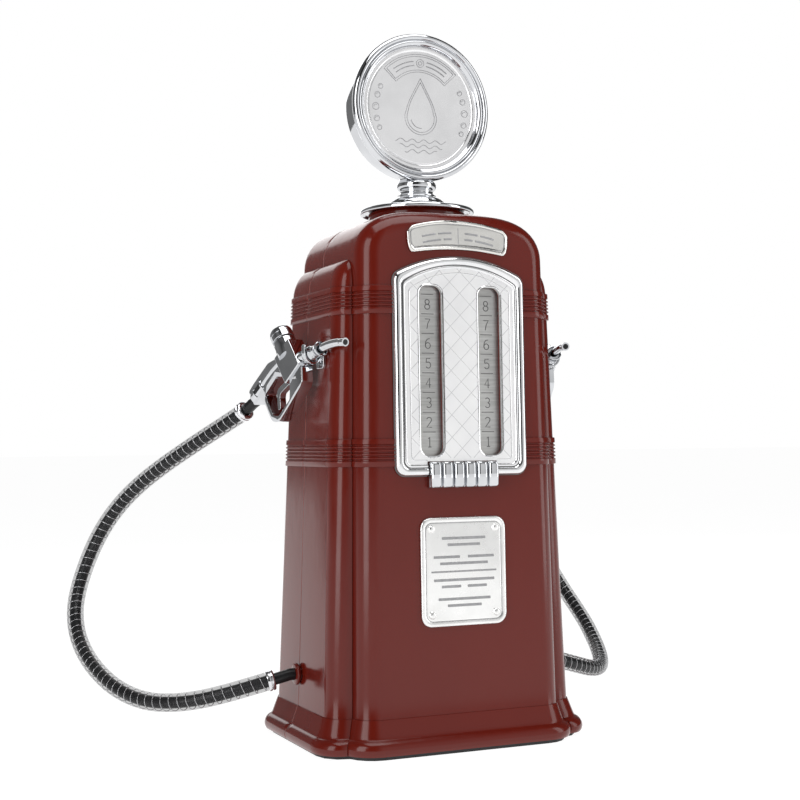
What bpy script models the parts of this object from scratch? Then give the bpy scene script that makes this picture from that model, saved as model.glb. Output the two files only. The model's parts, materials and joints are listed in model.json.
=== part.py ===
"""Table-top drinks dispenser in the shape of a vintage twin petrol pump.

Frame: metres, +Z up, the front faces -Y, and the origin is on the floor under the middle of the base.
"""

import math

import bmesh
import bpy
from mathutils import Matrix, Vector

MM = 0.001

# ---- heights ----
BASE_THICK = 2.2 * MM
GAP = 0.3 * MM
BEAD_R = 6.35 * MM
BEAD_OUT = 2.8 * MM
Z_PLINTH = 24.0 * MM
LOWER_BAND = (182.9 * MM, 200.9 * MM)
UPPER_BAND = (280.7 * MM, 298.9 * MM)
BAND_OUT = 1.15 * MM
Z_WING_TOP = 317.5 * MM
Z_SPRING = 320.0 * MM
Z_CROWN = 349.5 * MM
TOTAL_HEIGHT = 480.0 * MM

# ---- plan sizes, each as (at the plinth, at the top of the upper band) ----
SEAM_Y = 7.4 * MM
MAIN_HALF = (72.6 * MM, 67.8 * MM)
WING_HALF = (87.85 * MM, 78.1 * MM)
FRONT = {"main": (73.4 * MM, 69.05 * MM), "wing": (60.0 * MM, 54.7 * MM), "sign": -1}
REAR = {"main": (58.3 * MM, 50.5 * MM), "wing": (51.2 * MM, 42.4 * MM), "sign": 1}
CORNER = 14.0 * MM
WING_ROUND = 13.0 * MM
WING_DROP = 10.0 * MM
ARCH_P = 4.0
ARCH_Q = 2.0
WALL = 2.4 * MM

# ---- front trim ----
BEZEL_HALF = 47.0 * MM
BEZEL_Z = (176.7 * MM, 308.5 * MM, 318.7 * MM)
BEZEL_THICK = 4.0 * MM
WINDOW_X = 21.2 * MM
WINDOW_HALF = 8.5 * MM
WINDOW_Z = (189.5 * MM, 299.5 * MM)
WINDOW_ROUND = 7.5 * MM
GRILLE_HALF = 24.7 * MM
GRILLE_Z = (168.4 * MM, 185.7 * MM)
PLAQUE_HALF = 36.4 * MM
PLAQUE_Z = (320.3 * MM, 342.8 * MM)
PLATE_HALF = 30.4 * MM
PLATE_Z = (80.0 * MM, 149.8 * MM)
RIVET_X = 23.0 * MM
RIVET_Z = (87.7 * MM, 142.4 * MM)

# ---- lid and globe sign ----
STEM_Y = 2.5 * MM
FILL_R = 30.0 * MM
GLOBE_Z = 428.9 * MM
GLOBE_R = 51.1 * MM

# ---- nozzles and hoses ----
RING = Vector((-85.9, -36.5, 259.3)) * MM
NOZZLE_YAW = math.radians(13.5)
BARREL = Vector((0.6, 0.8, 0.0))
BARREL_MID = Vector((40.2, 2.0, 0.0)) * MM
PIVOT = Vector((25.0, -17.0, 0.0)) * MM
CASTING_HALF = 4.5 * MM
HANDLE_END = Vector((79.0, -30.0, 0.0)) * MM
GLAND_Z = 45.0 * MM
GLAND_FACE = 90.7 * MM
HOSE_R = 4.0 * MM
SLEEVE_R = 6.25 * MM
SLEEVE_WALL = 1.3 * MM
HOSE_SPANS = 30

# The left hose from its gland to its nozzle; the right one mirrors it.
HOSE_ROUTE = [
    (-91.0, 7.4, 45.0), (-97.0, 7.7, 44.2), (-104.0, 8.8, 42.4), (-120.0, 13.2, 38.0), (-136.0, 20.5, 33.2),
    (-151.0, 30.5, 29.0), (-165.0, 43.0, 26.4), (-177.0, 58.0, 26.0), (-187.0, 74.5, 28.8), (-194.8, 91.8, 34.0),
    (-200.5, 109.0, 41.0), (-204.5, 126.0, 49.5), (-206.3, 142.5, 59.0), (-206.0, 156.5, 69.0),
    (-204.0, 167.5, 79.8), (-200.5, 175.0, 91.0), (-196.0, 179.3, 103.0), (-190.6, 180.3, 116.5),
    (-184.5, 177.8, 130.5), (-177.3, 170.8, 144.8), (-168.8, 159.5, 158.5), (-159.3, 143.5, 171.3),
    (-149.0, 124.5, 183.0), (-138.3, 104.0, 194.0), (-127.8, 84.0, 204.2), (-117.5, 66.5, 213.6),
    (-108.6, 51.0, 222.2), (-104.4, 40.6, 229.1),
]

SIDES = {"left": -1, "right": 1}


def clear_scene():
    for obj in list(bpy.data.objects):
        bpy.data.objects.remove(obj)


def material(name, colour, roughness, metallic=0.0):
    made = bpy.data.materials.new(name)
    made.use_nodes = True
    shader = made.node_tree.nodes["Principled BSDF"]
    shader.inputs["Base Color"].default_value = (*colour, 1.0)
    shader.inputs["Roughness"].default_value = roughness
    shader.inputs["Metallic"].default_value = metallic
    return made


def add(name, bm, mat, matrix=None, parent=None, bevel=None):
    """Makes one named object from a bmesh, which it frees."""
    bmesh.ops.remove_doubles(bm, verts=bm.verts, dist=1e-6)
    bmesh.ops.dissolve_degenerate(bm, edges=bm.edges, dist=1e-6)
    bmesh.ops.recalc_face_normals(bm, faces=bm.faces)
    mesh = bpy.data.meshes.new(name)
    bm.to_mesh(mesh)
    bm.free()
    return place(name, mesh, mat, matrix, parent, bevel)


def place(name, mesh, mat, matrix=None, parent=None, bevel=None):
    mesh.materials.clear()
    mesh.materials.append(mat)
    mesh.shade_smooth()
    mesh.set_sharp_from_angle(angle=math.radians(35))
    obj = bpy.data.objects.new(name, mesh)
    bpy.context.scene.collection.objects.link(obj)
    obj.parent = parent
    if matrix is not None:
        obj.matrix_local = matrix
    if bevel:
        modifier = obj.modifiers.new("edge", "BEVEL")
        modifier.width = bevel
        modifier.segments = 1
        modifier.limit_method = "ANGLE"
        modifier.angle_limit = math.radians(50)
    return obj


def boolean(obj, cutter, operation="DIFFERENCE"):
    modifier = obj.modifiers.new(cutter.name, "BOOLEAN")
    modifier.object = cutter
    modifier.operation = operation
    modifier.solver = "EXACT"


def helper(obj):
    obj.hide_render = True
    obj.display_type = "WIRE"
    return obj


# ---- outlines and basic solids ----
def arc(centre, radius, start, end, steps):
    """Points along an arc, with angles in degrees."""
    return [
        (
            centre[0] + radius * math.cos(math.radians(start + (end - start) * i / steps)),
            centre[1] + radius * math.sin(math.radians(start + (end - start) * i / steps)),
        )
        for i in range(steps + 1)
    ]


def rounded_box(half_width, low, high, radius, steps=3):
    """Closed outline of a rounded rectangle, centred on x = 0."""
    x = half_width - radius
    points = arc((x, high - radius), radius, 0, 90, steps)
    points += arc((-x, high - radius), radius, 90, 180, steps)
    points += arc((-x, low + radius), radius, 180, 270, steps)
    points += arc((x, low + radius), radius, 270, 360, steps)
    return points


def prism(outline, low, high):
    """Solid between two copies of an outline in the XY plane, at z = low and z = high."""
    bm = bmesh.new()
    bottom = [bm.verts.new((x, y, low)) for x, y in outline]
    top = [bm.verts.new((x, y, high)) for x, y in outline]
    bm.faces.new(bottom)
    bm.faces.new(top)
    for i in range(len(outline)):
        j = (i + 1) % len(outline)
        bm.faces.new((bottom[i], bottom[j], top[j], top[i]))
    return bm


def box(low, high):
    outline = [(low[0], low[1]), (high[0], low[1]), (high[0], high[1]), (low[0], high[1])]
    return prism(outline, low[2], high[2])


def turned(profile, steps, loop=False):
    """Solid of revolution about Z. The profile lists (radius, z) from top to bottom, or round a ring."""
    bm = bmesh.new()
    rings = []
    for radius, z in profile:
        if radius <= 0:
            rings.append([bm.verts.new((0, 0, z))] * steps)
            continue
        angles = [2 * math.pi * i / steps for i in range(steps)]
        rings.append([bm.verts.new((radius * math.cos(a), radius * math.sin(a), z)) for a in angles])
    pairs = list(zip(rings, rings[1:]))
    if loop:
        pairs.append((rings[-1], rings[0]))
    for upper, lower in pairs:
        for i in range(steps):
            j = (i + 1) % steps
            corners = list(dict.fromkeys((upper[i], lower[i], lower[j], upper[j])))
            if len(corners) > 2:
                bm.faces.new(corners)
    if not loop:
        for ring in (rings[0], rings[-1]):
            if ring[0] is not ring[1]:
                bm.faces.new(ring)
    return bm


def swept(route, radii, steps):
    """Solid round rod along a route in the XY plane, with the end of the route hollowed out."""
    bm = bmesh.new()
    rings = []
    for i, (point, radius) in enumerate(zip(route, radii)):
        ahead = route[min(i + 1, len(route) - 1)]
        behind = route[max(i - 1, 0)]
        along = Vector((ahead[0] - behind[0], ahead[1] - behind[1], 0))
        if along.length < 1e-9:
            along = Vector((-1, 0, 0))
        along.normalize()
        side = Vector((-along.y, along.x, 0))
        ring = []
        for k in range(steps):
            a = 2 * math.pi * k / steps
            offset = side * (radius * math.cos(a)) + Vector((0, 0, radius * math.sin(a)))
            ring.append(bm.verts.new(Vector((*point, 0)) + offset))
        rings.append(ring)
    for lower, upper in zip(rings, rings[1:]):
        for k in range(steps):
            j = (k + 1) % steps
            bm.faces.new((lower[k], lower[j], upper[j], upper[k]))
    bm.faces.new(rings[0])
    bm.faces.new(rings[-1])
    return bm


def aim(origin, direction):
    """Matrix that takes +Z to the direction, at the origin given."""
    turn = Vector(direction).to_track_quat("Z", "Y").to_matrix().to_4x4()
    return Matrix.Translation(Vector(origin)) @ turn


def facing_front(y):
    """Matrix that stands an XY outline up as XZ, with its thickness running from y towards -Y."""
    return Matrix(((1, 0, 0, 0), (0, 0, -1, y), (0, 1, 0, 0), (0, 0, 0, 1)))


# ---- pump body ----
def taper(pair, z):
    return pair[0] + (pair[1] - pair[0]) * (z - Z_PLINTH) / (UPPER_BAND[1] - Z_PLINTH)


def main_half(z):
    """Half width of the middle block, which ends in a broad arch with round shoulders."""
    if z <= Z_SPRING:
        return taper(MAIN_HALF, z)
    rise = min((z - Z_SPRING) / (Z_CROWN - Z_SPRING), 1.0)
    return taper(MAIN_HALF, Z_SPRING) * (1 - rise**ARCH_Q) ** (1 / ARCH_P)


OUTLINE_STEPS = 160
OUTLINE = [
    (main_half(Z_CROWN * math.sin(angle)), Z_CROWN * math.sin(angle))
    for angle in [math.pi / 2 * i / OUTLINE_STEPS for i in range(OUTLINE_STEPS + 1)]
]


def edge_distance(x, z):
    """Distance from a point of the front to the block's outline in the front view."""
    near = None
    for (ax, az), (bx, bz) in zip(OUTLINE, OUTLINE[1:]):
        dx, dz = bx - ax, bz - az
        length = dx * dx + dz * dz
        t = max(0.0, min(1.0, ((x - ax) * dx + (z - az) * dz) / length)) if length else 0.0
        gap = math.hypot(x - ax - t * dx, z - az - t * dz)
        near = gap if near is None else min(near, gap)
    return near


def half_section(z, out, face):
    """Half outline at height z, offset outwards by out, from mid face round to the seam: (x, depth) pairs."""
    deep = taper(face["main"], z) + out
    side = max(main_half(z) + out, 0.0)
    round_main = CORNER + out
    fall = min(max((z - UPPER_BAND[1]) / (Z_WING_TOP - UPPER_BAND[1]), 0.0), 1.0)
    keep = math.sqrt(1 - fall * fall)
    wing_side = side + (max(taper(WING_HALF, z) + out, side) - side) * keep
    wing_deep = taper(face["wing"], z) + out - WING_DROP * (1 - keep)
    flat = max(side - round_main, 0.0)
    cut = (wing_deep - (deep - round_main)) / round_main
    end = math.acos(min(max(cut, 0.0), 1.0))
    points = [(0.0, None), (flat / 2, None), (flat, None)]
    points += [(flat + (side - flat) * math.sin(end * i / 4), None) for i in range(1, 5)]
    half = []
    for x, _ in points:
        distance = max(side - x if z <= Z_SPRING else edge_distance(x, z) + out, 0.0)
        inset = max(round_main - distance, 0.0)
        half.append((x, deep - round_main + math.sqrt(round_main**2 - inset**2)))
    groove = half[-1][0]
    half.append((groove, wing_deep))
    round_x = min(WING_ROUND + out, wing_side - groove)
    round_y = WING_ROUND + out
    for i in range(4):
        a = math.pi / 2 * i / 3
        half.append((wing_side - round_x + round_x * math.sin(a), wing_deep - round_y * (1 - math.cos(a))))
    half.append((wing_side, GAP / 2))
    return half


def section(z, out, face, height=None):
    """Full outline of one shell at height z, from seam to seam, as points in space."""
    half = half_section(z, out, face)
    level = z if height is None else height
    row = [(x, SEAM_Y + face["sign"] * depth, level) for x, depth in reversed(half)]
    return row + [(-x, SEAM_Y + face["sign"] * depth, level) for x, depth in half[1:]]


def outer_rows(face):
    z_low = BASE_THICK + GAP
    start = math.asin((z_low - BEAD_R) / BEAD_R)
    rows = []
    for i in range(5):
        a = start + (math.radians(72.6) - start) * i / 4
        rows.append((BEAD_R + BEAD_R * math.sin(a), BEAD_OUT + BEAD_R * math.cos(a)))
    rows += [(Z_PLINTH, 0.7 * MM), (Z_PLINTH, 0.0)]
    for low, high in (LOWER_BAND, UPPER_BAND):
        rows += [(low, 0.0), (low, BAND_OUT), (high, BAND_OUT), (high, 0.0)]
    rise = Z_WING_TOP - UPPER_BAND[1]
    rows += [(UPPER_BAND[1] + rise * math.sin(math.radians(b)), 0.0) for b in (25, 50, 70, 90)]
    rows.append((Z_SPRING, 0.0))
    rise = Z_CROWN - Z_SPRING
    rows += [(Z_SPRING + rise * math.sin(math.radians(c)), 0.0) for c in (18, 36, 52, 66, 78, 90)]
    return [section(z, out, face) for z, out in rows]


def inner_rows(face):
    """The inner wall: the same shape, one wall thickness in and down."""
    rise_wing = Z_WING_TOP - UPPER_BAND[1]
    rise = Z_CROWN - Z_SPRING
    levels = [BASE_THICK + GAP + WALL, Z_PLINTH, UPPER_BAND[1]]
    levels += [UPPER_BAND[1] + rise_wing * math.sin(math.radians(b)) for b in (40, 70, 90)]
    levels += [Z_SPRING + rise * math.sin(math.radians(c)) for c in (0, 30, 52, 70, 90)]
    return [section(z, -WALL, face, z - WALL) for z in levels]


def shell_mesh(face):
    """A hollow half body, open at the foot and at the seam."""
    bm = bmesh.new()
    outer = [[bm.verts.new(p) for p in row] for row in outer_rows(face)]
    inner = [[bm.verts.new(p) for p in row] for row in inner_rows(face)]
    for rows in (outer, inner):
        for lower, upper in zip(rows, rows[1:]):
            for i in range(len(lower) - 1):
                bm.faces.new((lower[i], lower[i + 1], upper[i + 1], upper[i]))
    for i in range(len(outer[0]) - 1):
        bm.faces.new((outer[0][i], outer[0][i + 1], inner[0][i + 1], inner[0][i]))
    bmesh.ops.remove_doubles(bm, verts=bm.verts, dist=1e-6)
    seam = [edge for edge in bm.edges if edge.is_boundary]
    bmesh.ops.holes_fill(bm, edges=seam, sides=0)
    return bm


def make_shells(mats):
    front = add("front_shell", shell_mesh(FRONT), mats["body"])
    rear = add("rear_shell", shell_mesh(REAR), mats["body"])
    fill = turned([(FILL_R + GAP, 400 * MM), (FILL_R + GAP, 335 * MM)], 28)
    fill = helper(add("cut_fill", fill, mats["body"]))
    fill.location = (0, STEM_Y, 0)
    reach = 120 * MM
    gland = helper(add("cut_gland", turned([(5.6 * MM, reach), (5.6 * MM, -reach)], 12), mats["body"]))
    gland.matrix_local = aim((0, SEAM_Y, GLAND_Z), (1, 0, 0))
    for shell in (front, rear):
        boolean(shell, fill)
        boolean(shell, gland)
    seat = arched_outline(BEZEL_HALF + GAP, BEZEL_Z[0] - GAP, BEZEL_Z[1], BEZEL_Z[2] + GAP, 8 * MM)
    seat = helper(add("cut_bezel_seat", prism(seat, -0.2 * MM, 9 * MM), mats["body"], lean(sum(WINDOW_Z) / 2)))
    boolean(front, seat)
    outline = rounded_box(WINDOW_HALF + 0.6 * MM, WINDOW_Z[0] - 0.6 * MM, WINDOW_Z[1] + 0.6 * MM, WINDOW_ROUND)
    for side, sign in SIDES.items():
        cut = helper(add("cut_window_" + side, prism(outline, 0, 30 * MM), mats["body"]))
        cut.matrix_local = Matrix.Translation((sign * WINDOW_X, 0, 0)) @ facing_front(-50 * MM)
        boolean(front, cut)


def plan_outline(z, out):
    """Full closed outline of both shells together at height z, as (x, y) pairs."""
    front = [(x, y) for x, y, _ in section(z, out, FRONT)]
    rear = [(x, y) for x, y, _ in reversed(section(z, out, REAR))]
    points = []
    for point in front + rear:
        if not points or math.dist(point, points[-1]) > 1e-5:
            points.append(point)
    return points


def make_base(mats):
    plate = add("base_plate", prism(plan_outline(Z_PLINTH, 5.0 * MM), 0, BASE_THICK), mats["base"])
    places = [(x, y) for x in (-60, 60) for y in (-45, 45)]
    for number, (x, y) in enumerate(places, 1):
        pocket = turned([(7.3 * MM, 1.2 * MM), (7.3 * MM, -1.0 * MM)], 16)
        cut = helper(add(f"cut_foot_{number}", pocket, mats["base"], Matrix.Translation((x * MM, y * MM, 0))))
        boolean(plate, cut)
        foot = turned([(7.0 * MM, 0.9 * MM), (7.0 * MM, 0)], 16)
        add(f"foot_{number}", foot, mats["rubber"], Matrix.Translation((x * MM, y * MM, 0)))


# ---- drinks tanks ----
def make_tanks(mats):
    low, high = 88 * MM, 322 * MM
    shelf = add("tank_shelf", prism(plan_outline(85 * MM, -WALL - 0.4 * MM), 84 * MM, 87 * MM), mats["base"])
    for side, sign in SIDES.items():
        make_tank(side, sign, low, high, mats)
        make_tank_cover(side, sign, high, mats)
        outlet_at = Matrix.Translation((sign * 40.0 * MM, SEAM_Y, 0))
        hole = turned([(5.6 * MM, 95 * MM), (5.6 * MM, 75 * MM)], 12)
        boolean(shelf, helper(add(f"cut_shelf_{side}", hole, mats["base"], outlet_at)))
        feed = [(40, 79.7), (40, 62), (42.5, 52), (50, 46.3), (60, 45), (84, 45)]
        points = [(sign * x * MM, SEAM_Y, z * MM) for x, z in feed]
        tube(f"feed_tube_{side}", points, HOSE_R, mats["hose"])


def make_tank(side, sign, low, high, mats):
    """Open-topped clear box with a drain stub through the shelf."""
    at = Matrix.Translation((sign * 27.0 * MM, STEM_Y - 2.0 * MM, 0))
    outer = prism(rounded_box(23 * MM, -32 * MM, 32 * MM, 5 * MM, 2), low, high - 2.4 * MM)
    tank = add(f"tank_{side}", outer, mats["tank"], at)
    inside = prism(rounded_box(21 * MM, -30 * MM, 30 * MM, 3 * MM, 2), low + 2 * MM, high + 5 * MM)
    hollow = helper(add(f"cut_tank_{side}", inside, mats["tank"], at))
    outlet_at = Matrix.Translation((sign * 40.0 * MM, SEAM_Y, 0))
    outlet = turned([(5 * MM, 91 * MM), (5 * MM, 80 * MM)], 12)
    outlet = helper(add(f"join_outlet_{side}", outlet, mats["tank"], outlet_at))
    drain = turned([(2.6 * MM, 95 * MM), (2.6 * MM, 75 * MM)], 12)
    drain = helper(add(f"cut_outlet_{side}", drain, mats["tank"], outlet_at))
    boolean(tank, outlet, "UNION")
    boolean(tank, hollow)
    boolean(tank, drain)


def make_tank_cover(side, sign, high, mats):
    """Flat cover with the filling neck."""
    at = Matrix.Translation((sign * 27.0 * MM, STEM_Y - 2.0 * MM, 0))
    plate = prism(rounded_box(23 * MM, -32 * MM, 32 * MM, 5 * MM, 2), high - 2.1 * MM, high)
    cover = add(f"tank_{side}_cover", plate, mats["tank"], at)
    neck_at = Matrix.Translation((sign * 15.5 * MM, STEM_Y, 0))
    neck = turned([(11.0 * MM, 343 * MM), (11.0 * MM, high - 1 * MM)], 16)
    neck = helper(add(f"join_neck_{side}", neck, mats["tank"], neck_at))
    bore = turned([(9.0 * MM, 350 * MM), (9.0 * MM, high - 6 * MM)], 16)
    bore = helper(add(f"cut_neck_{side}", bore, mats["tank"], neck_at))
    boolean(cover, neck, "UNION")
    boolean(cover, bore)


# ---- front trim ----
def front_y(z):
    return SEAM_Y - taper(FRONT["main"], z)


def lean(z):
    """Matrix that stands an XY outline against the sloping front, level with height z."""
    slope = math.atan((taper(FRONT["main"], 0) - taper(FRONT["main"], 0.1)) / 0.1)
    back = Matrix.Rotation(-slope, 4, "X")
    at = Matrix.Translation((0, front_y(z) - 0.35 * MM, z))
    return at @ back @ Matrix(((1, 0, 0, 0), (0, 0, -1, 0), (0, 1, 0, -z), (0, 0, 0, 1)))


def arched_outline(half, low, spring, crown, radius, steps=3, top_steps=8):
    """Closed outline with round corners and a shallow arched top."""
    rise = crown - spring
    chord = half - radius * 0.7
    big = (chord * chord + rise * rise) / (2 * rise)
    open_angle = math.degrees(math.asin(chord / big))
    points = arc((half - radius, spring - radius * 0.72), radius, 0, 60, steps)
    points += arc((0, crown - big), big, 90 - open_angle, 90 + open_angle, top_steps)
    points += arc((-half + radius, spring - radius * 0.72), radius, 120, 180, steps)
    points += arc((-half + radius, low + radius), radius, 180, 270, steps)
    points += arc((half - radius, low + radius), radius, 270, 360, steps)
    return points


def make_bezel(mats):
    middle = sum(WINDOW_Z) / 2
    outline = arched_outline(BEZEL_HALF, *BEZEL_Z, 8 * MM)
    bezel = add("bezel", prism(outline, 0, BEZEL_THICK), mats["chrome"], lean(middle))
    window = rounded_box(WINDOW_HALF, *WINDOW_Z, WINDOW_ROUND)
    strip = rounded_box(WINDOW_HALF - GAP, WINDOW_Z[0] + GAP, WINDOW_Z[1] - GAP, WINDOW_ROUND)
    for side, sign in SIDES.items():
        shift = Matrix.Translation((sign * WINDOW_X, 0, 0))
        cut = prism(window, -2 * MM, BEZEL_THICK + 2 * MM)
        boolean(bezel, helper(add("cut_bezel_" + side, cut, mats["chrome"], shift @ lean(middle))))
        add(f"gauge_strip_{side}", prism(strip, -2.0 * MM, -0.4 * MM), mats["gauge"], shift @ lean(middle))
    foot = box(
        (-GRILLE_HALF - GAP, BEZEL_Z[0] - 10 * MM, -1 * MM),
        (GRILLE_HALF + GAP, GRILLE_Z[1] + GAP, 9 * MM),
    )
    boolean(bezel, helper(add("cut_bezel_foot", foot, mats["chrome"], lean(middle))))


def make_grille(mats):
    """Six blunt upright bars on one backing block."""
    pitch = 2 * GRILLE_HALF / 6
    outline = [(-GRILLE_HALF, 0)]
    for i in range(6):
        left = -GRILLE_HALF + i * pitch
        outline += [(left + 0.2 * MM, 6.2 * MM), (left + 1.6 * MM, 7.4 * MM)]
        outline += [(left + pitch - 1.6 * MM, 7.4 * MM), (left + pitch - 0.2 * MM, 6.2 * MM)]
        if i < 5:
            outline.append((left + pitch, 4.6 * MM))
    outline.append((GRILLE_HALF, 0))
    # The outline lies in plan, and its height runs along the front.
    bm = prism(outline, *GRILLE_Z)
    up = lean(sum(GRILLE_Z) / 2) @ Matrix(((1, 0, 0, 0), (0, 0, 1, 0), (0, 1, 0, 0), (0, 0, 0, 1)))
    add("grille", bm, mats["chrome"], up)


def make_plaque(mats):
    """Fan-shaped header plaque with an arched top and a hollow bottom edge."""
    low, high = PLAQUE_Z
    top = arc((0, high - 118 * MM), 118 * MM, 90 - 16.4, 90 + 16.4, 8)
    foot = arc((0, low + 3.2 * MM - 190 * MM), 190 * MM, 90 + 10.0, 90 - 10.0, 8)
    left = [(-36.2 * MM, high - 6.2 * MM), (-36.4 * MM, low + 8 * MM), (-35.6 * MM, low + 1.6 * MM)]
    right = [(-x, z) for x, z in reversed(left)]
    add("header_plaque", prism(top + left + foot + right, 0, 1.8 * MM), mats["pewter"], lean(sum(PLAQUE_Z) / 2))


def make_plate(mats):
    at = lean(sum(PLATE_Z) / 2)
    plate = add("lower_plate", prism(rounded_box(PLATE_HALF, *PLATE_Z, 4 * MM), 0, 1.6 * MM), mats["pewter"], at)
    number = 0
    for x in (-RIVET_X, RIVET_X):
        for z in RIVET_Z:
            number += 1
            hole = turned([(1.3 * MM, 3 * MM), (1.3 * MM, -1 * MM)], 10)
            spot = at @ Matrix.Translation((x, z, 0))
            boolean(plate, helper(add(f"cut_rivet_{number}", hole, mats["pewter"], spot)))
            dome = [(0, 2.9 * MM), (1.5 * MM, 2.6 * MM), (2.3 * MM, 1.9 * MM)]
            dome += [(1.0 * MM, 1.9 * MM), (1.0 * MM, 0)]
            add(f"rivet_{number}", turned(dome, 10), mats["chrome"], spot)


# ---- lid with the globe sign ----
def make_lid(mats):
    axis = Matrix.Translation((0, STEM_Y, 0))
    collar = [(33.5, 349.8), (33.5, 356.7), (32.8, 357.2), (26.5, 357.2)]
    collar += [(26.5, 344.5), (29.5, 344.5), (29.5, 349.8)]
    add("filler_collar", turned(millimetres(collar), 32, loop=True), mats["body"], axis)
    dish = [(18.0, 361.4), (28.0, 359.8), (38.0, 358.8), (39.6, 357.9)]
    dish += [(39.75, 356.6), (39.2, 355.6), (36.8, 355.6)]
    dish += [(36.0, 357.6), (24.0, 357.6), (24.0, 350.0), (22.0, 350.0), (22.0, 358.5), (18.0, 358.5)]
    add("lid_flange", turned(millimetres(dish), 36, loop=True), mats["chrome"], axis)
    seal = [(26.0, 352.0), (26.0, 354.4), (24.3, 354.4), (24.3, 352.0)]
    add("lid_seal", turned(millimetres(seal), 24, loop=True), mats["rubber"], axis)
    stem = [(0.0, 386.0), (12.0, 386.0), (12.0, 379.4), (13.6, 378.0)]
    stem += [(13.8, 375.8), (13.0, 373.6), (11.4, 372.4)]
    stem += [(11.2, 370.2), (12.6, 368.6), (15.0, 367.4), (19.5, 365.2), (20.9, 362.6), (20.9, 361.8)]
    stem += [(17.6, 361.8), (17.6, 360.0), (8.0, 360.0), (8.0, 372.0), (0.0, 372.0)]
    stem = add("lid_stem", turned(millimetres(stem), 28), mats["chrome"], axis)
    saddle = turned(millimetres([(51.5, 30), (51.5, 7.2), (48.9, 7.2), (48.9, -30)]), 48)
    boolean(stem, helper(add("cut_saddle", saddle, mats["chrome"], aim((0, STEM_Y, GLOBE_Z), (0, -1, 0)))))


def make_globe(mats):
    at = aim((0, STEM_Y, GLOBE_Z), (0, -1, 0))
    drum = [(46.9, 9.0), (48.5, 8.0), (48.5, -9.0), (46.5, -12.0)]
    drum += [(44.3, -12.6), (44.3, -9.0), (46.6, -7.5), (46.6, 6.0)]
    add("globe_drum", turned(millimetres(drum), 48, loop=True), mats["chrome"], at)
    ring = [(42.0, 7.2), (42.0, 10.6), (43.0, 12.2), (44.8, 12.4), (46.4, 11.0), (47.2, 12.0), (49.2, 13.2)]
    ring += [(50.7, 12.2), (51.1, 10.6), (50.6, 9.0), (49.2, 8.3), (48.8, 9.3), (46.6, 9.3), (46.2, 7.2)]
    add("globe_ring", turned(millimetres(ring), 48, loop=True), mats["chrome"], at)
    face = [(0.0, 9.2), (41.6, 9.2), (41.6, 7.4), (0.0, 7.4)]
    add("globe_face", turned(millimetres(face), 40), mats["chrome"], at)
    back = [(0.0, -10.0), (44.0, -10.0), (44.0, -12.4), (40.0, -14.4), (24.0, -16.0), (0.0, -16.4)]
    add("globe_back", turned(millimetres(back), 40), mats["chrome"], at)


# ---- nozzles ----
def nozzle_axes(sign):
    """Frame of a nozzle: x runs back along it, y is up, z lies across it. The origin is its flared ring."""
    back = Vector((sign * math.sin(NOZZLE_YAW), math.cos(NOZZLE_YAW), 0))
    up = Vector((0, 0, 1))
    across = back.cross(up)
    frame = Matrix((back, up, across)).transposed().to_4x4()
    origin = Vector((RING.x * -sign, RING.y, RING.z))
    return Matrix.Translation(origin) @ frame


def frame_empty(name, matrix):
    empty = bpy.data.objects.new(name, None)
    bpy.context.scene.collection.objects.link(empty)
    empty.matrix_world = matrix
    return empty


CASTING = [
    (17.5, -10.0), (31.3, 8.4), (48.1, -4.2), (58.0, -6.8), (76.5, -20.0), (82.6, -25.2), (75.4, -34.8),
    (67.5, -29.5), (61.5, -34.5), (55.5, -43.0), (53.2, -45.4), (50.0, -46.4), (46.0, -46.4), (43.0, -45.2),
    (31.0, -35.0), (18.6, -24.0), (16.8, -21.0),
]
FINGER_LOOP = [
    (31.0, -17.5), (31.0, -31.8), (43.6, -41.8), (46.5, -43.0),
    (49.4, -43.0), (52.2, -41.0), (61.8, -28.0), (46.0, -15.5),
]
TRIGGER = [
    (-2.7, 0.0), (-1.9, 1.9), (0.0, 2.7), (1.9, 1.9), (3.5, 1.1), (13.0, -1.6), (23.4, -7.2), (25.2, -10.0),
    (24.8, -13.6), (23.6, -21.6), (20.4, -20.8), (21.4, -13.0),
    (20.6, -10.4), (11.0, -5.2), (0.0, -2.7), (-1.9, -1.9),
]


def millimetres(points):
    return [(x * MM, y * MM) for x, y in points]


def barrel_frame(along):
    """Matrix whose z axis is the barrel's, at the distance given from the barrel's middle."""
    return aim(BARREL_MID + BARREL * along, BARREL)


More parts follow.
